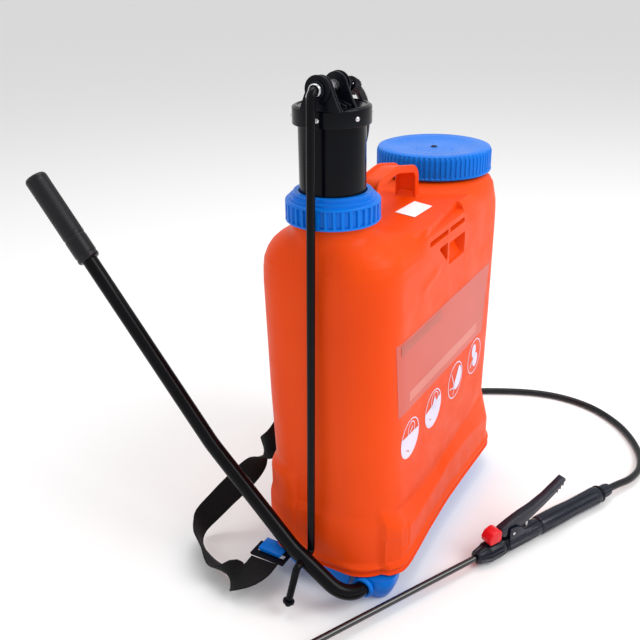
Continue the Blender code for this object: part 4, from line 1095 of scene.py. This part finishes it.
def make_lance():
    nut_levels = [(0.0044, -0.044), (0.0078, -0.044), (0.0086, -0.0432), (0.0094, -0.04), (0.0122, -0.027),
        (0.013, -0.0255), (0.0132, -0.024), (0.0132, -0.006), (0.013, -0.004), (0.0124, -0.001),
        (0.0115, -0.0003), (0.0044, -0.0003)]

    lance_lathe("lance_nut_body", nut_levels, *HANDLE, ("lance_nut",), steps=320,
        ribs=flutes(16, range(3, 9), 0.0014, 0.2, 0.8, 0.15), closed=True, sharp=38.0)
    lance_lathe("lance_pipe", [(0.003, -0.494), (0.004, -0.494), (0.004, -0.0008), (0.003, -0.0008)],
        LANCE_COAT, "root", "lance_metal", ("lance_tube",), steps=32, closed=True, round_by=0.0)
    lance_lathe("lance_collar_body", [(0.0026, 0.0), (0.0105, 0.0), (0.0118, 0.001), (0.0118, 0.005),
        (0.0105, 0.006), (0.0026, 0.006)], *FITTING, ("lance_collar",), steps=64, closed=True)

    lance_lathe("valve_housing", [(AXIS, 0.0063), (0.0112, 0.0063), (0.0122, 0.008), (0.0122, 0.056),
        (0.0118, 0.06), (0.011, 0.064), (0.011, 0.066), (AXIS, 0.066)], *HANDLE, ("valve_body",), steps=288,
        ribs=flutes(12, (2, 3), 0.0011, 0.25, 0.75, 0.12), sharp=38.0)
    for side, name in ((-1, "left"), (1, "right")):
        outline = [(0.008, 0.004), (0.0058, 0.02), (0.007, 0.0262), (0.013, 0.0272), (0.02, 0.0262),
            (0.0285, 0.02), (0.034, 0.014), (0.036, 0.004)]
        low, high = sorted((side * 0.0062, side * 0.0092))
        bevelled(f"pivot_cheek_{name}", outline, low, high, upright, *HANDLE, matrix=LANCE, width=0.0007)

    grip = [(0.004, 0.0663), (0.0112, 0.0663), (0.0124, 0.068), (0.0127, 0.072), (0.0129, 0.09),
        (0.0128, 0.11), (0.0119, 0.13), (0.012, 0.148), (0.0123, 0.165), (0.0126, 0.178), (0.0126, 0.183),
        (0.0119, 0.186), (0.004, 0.186)]
    lance_lathe("hand_grip_body", grip, HANDLE_BLACK, "root", "grip_plastic", ("handle_grip",), steps=240,
        ribs=flutes(10, range(3, 10), 0.0012, 0.3, 0.7, 0.12), closed=True, sharp=45.0)
    lance_lathe("end_ring_body", [(0.0032, 0.1863), (0.01, 0.1863), (0.0124, 0.1875), (0.0124, 0.1905),
        (0.0104, 0.1915), (0.0104, 0.194), (0.0032, 0.194)], *FITTING, ("handle_end_ring",), steps=72,
        closed=True)
    lance_lathe("hose_nut_body", [(0.0051, 0.1943), (0.0092, 0.1943), (0.0092, 0.206), (0.0082, 0.21),
        (0.0051, 0.21)], *HANDLE, ("hose_nut",), steps=144, closed=True, ribs=lambda angle,
        level: -0.0005 * (1 + math.cos(12 * angle)) if 1 <= level <= 2 else 0.0)
    lance_lathe("nozzle_tail", [(0.0043, -0.486), (0.0066, -0.486), (0.0074, -0.4875), (0.009, -0.49),
        (0.0092, -0.4915), (0.0092, -0.506), (0.0086, -0.508), (0.003, -0.508), (0.003, -0.4945),
        (0.0043, -0.4945)], *FITTING, ("nozzle_body",), steps=72, closed=True)
    lance_lathe("nozzle_tip", [(0.003, -0.5083), (0.0088, -0.5083), (0.0098, -0.5092), (0.0098, -0.519),
        (0.007, -0.524), (0.006, -0.525), (0.0012, -0.525), (0.0012, -0.52)], BRASS, "nozzle_cap", "brass",
        ("nozzle_cap",), steps=144, closed=True, ribs=lambda angle, level: -0.0003
        * (1 + math.cos(24 * angle)) if 2 <= level <= 3 else 0.0)

    lower = [(0.012, 0.0142), (0.022, 0.0185), (0.044, 0.025), (0.07, 0.036), (0.09, 0.046), (0.105, 0.0575),
        (0.1085, 0.06)]
    upper = [(0.1065, 0.0645), (0.095, 0.059), (0.074, 0.049), (0.05, 0.042), (0.03, 0.039), (0.01, 0.0342),
        (-0.006, 0.029), (-0.007, 0.02), (0.0, 0.015)]
    bevelled("trigger_blade", lower + upper, -0.0058, 0.0058, upright, HANDLE_BLACK, "trigger",
        "black_plastic", ("trigger",), width=0.0012, matrix=LANCE, steps=3)
    teeth = []
    for s, z in ((0.1035, 0.056), (0.0985, 0.0524), (0.0935, 0.0488)):
        teeth.append([(s - 0.0022, z - 0.001), (s + 0.0022, z + 0.0018), (s + 0.0012, z - 0.004)])
    for index, tooth in enumerate(teeth):
        bevelled(f"trigger_tooth_{index + 1}", tooth, -0.0052, 0.0052, upright, BLACK, "trigger",
            "black_plastic", width=0.0004, matrix=LANCE)
    clip = [(-0.0262, 0.0152), (-0.01, 0.0152), (-0.008, 0.018), (-0.008, 0.0306), (-0.014, 0.0336),
        (-0.024, 0.031), (-0.0288, 0.024), (-0.0285, 0.019)]
    bevelled("lock_clip_body", clip, -0.0085, 0.0085, upright, RED, "lock_clip", "red_plastic",
        ("lock_clip",), width=0.0016, matrix=LANCE, steps=3)


# ---------------------------------------------------------------- straps

STRAP_WIDTH = 0.038
STRAP_THICKNESS = 0.002
LEFT_STRAP = (((-0.075, 0.0925, 0.392), (1, 0, 0)), ((-0.077, 0.0955, 0.3), (1, 0, 0)),
    ((-0.08, 0.0985, 0.2), (1, 0, 0)), ((-0.092, 0.112, 0.14), (1, 0.1, 0)),
    ((-0.125, 0.14, 0.09), (0.9, -0.3, 0.3)), ((-0.16, 0.17, 0.05), (0.7, -0.5, 0.5)),
    ((-0.188, 0.185, 0.026), (0.4, -0.5, 0.7)), ((-0.212, 0.17, 0.021), (0.0, 0.1, 1.0)),
    ((-0.232, 0.135, 0.021), (0.1, 0.0, 1.0)), ((-0.248, 0.105, 0.024), (-0.1, 0.3, 1.0)),
    ((-0.246, 0.078, 0.027), (0.0, 1.0, 0.6)), ((-0.232, 0.068, 0.0282), (0.0, 1.0, 0.0)),
    ((-0.211, 0.068, 0.0282), (0.0, 1.0, 0.0)))
RIGHT_STRAP = (((0.075, 0.0925, 0.392), (1, 0, 0)), ((0.077, 0.0955, 0.3), (1, 0, 0)),
    ((0.082, 0.0985, 0.2), (1, 0, 0)), ((0.092, 0.12, 0.14), (1, -0.1, 0)),
    ((0.108, 0.156, 0.09), (0.9, -0.4, 0)), ((0.13, 0.192, 0.045), (0.8, -0.6, 0)),
    ((0.16, 0.205, 0.022), (0.4, -0.7, 0.7)), ((0.195, 0.19, 0.021), (0.0, 0.1, 1.0)),
    ((0.22, 0.16, 0.024), (0.0, 0.0, 1.0)), ((0.24, 0.125, 0.029), (0.1, 0.1, 1.0)),
    ((0.248, 0.086, 0.028), (0.0, 1.0, 0.6)), ((0.232, 0.068, 0.0282), (0.0, 1.0, 0.0)),
    ((0.211, 0.068, 0.0282), (0.0, 1.0, 0.0)))


def make_strap(name, stations, node):
    """A webbing strap with thick woven edges; its UV map is in metres along and across."""
    centres = smooth_route([s[0] for s in stations], 0.005)
    widths = [Vector(s[1]).normalized() for s in stations]
    across = [-1.0, -0.97, -0.9, -0.84, -0.5, 0.0, 0.5, 0.84, 0.9, 0.97, 1.0]
    half = [0.35, 0.9, 1.0, 0.72, 0.7, 0.72, 0.7, 0.72, 1.0, 0.9, 0.35]
    last = len(centres) - 1
    points, uvs, travelled = [], [], 0.0
    for i, centre in enumerate(centres):
        along = (centres[min(i + 1, last)] - centres[max(i - 1, 0)]).normalized()
        place = i / last * (len(widths) - 1)
        k = min(int(place), len(widths) - 2)
        side = widths[k].lerp(widths[k + 1], place - k)
        side = (side - along * side.dot(along)).normalized()
        up = along.cross(side).normalized()
        travelled += (centre - centres[max(i - 1, 0)]).length
        for sign in (1, -1):
            for a, h in list(zip(across, half))[::sign]:
                points.append(centre + side * a * 0.5 * STRAP_WIDTH + up * sign * h * 0.5 * STRAP_THICKNESS)
                uvs.append((travelled, a * 0.5 * STRAP_WIDTH))
    count = 2 * len(across)
    mesh = bpy.data.meshes.new(name)
    mesh.from_pydata([tuple(p) for p in points], [], ring_faces(len(centres), count, False))
    layer = mesh.uv_layers.new(name="strap")
    for loop in mesh.loops:
        layer.data[loop.index].uv = uvs[loop.vertex_index]
    bm = bmesh.new()
    bm.from_mesh(mesh)
    bmesh.ops.recalc_face_normals(bm, faces=bm.faces[:])
    bm.to_mesh(mesh)
    bm.free()
    place_piece(name, mesh, WEBBING, "root", "webbing", (node,), 60.0)


# ---------------------------------------------------------------- CAD nodes that keep their shape

KEPT = {**{f"base_screw_{index}": STEEL for index in range(1, 5)}, "lever_bush_outer": BLACK,
    "lever_bush_inner": BLACK, "pump_gasket": SEAL, "pump_barrel": NATURAL, "intake_valve_seat": BLACK,
    "strap_anchor": BLACK, "strap_buckle_left": BLACK, "strap_buckle_right": BLACK, "strap_hook_left": BLACK,
    "strap_hook_right": BLACK, "trigger_pin": STEEL, "piston_cup": SEAL, "lever_end_clip": STEEL,
    "link_clip": BLACK, "filler_strainer": BLACK, "filler_gasket": SEAL, "intake_ball": STEEL,
    "valve_stem": STEEL}


def finish_kept_nodes():
    for name, material in KEPT.items():
        mesh = NODES[name].data
        mesh.materials.clear()
        mesh.materials.append(material)


make_camera()
make_stage()
make_hose()
make_tank()
make_label()
make_pump()
make_filler()
make_lever()
make_link()
make_base()
make_lance()
make_strap("strap_left_web", LEFT_STRAP, "strap_left")
make_strap("strap_right_web", RIGHT_STRAP, "strap_right")
finish_kept_nodes()
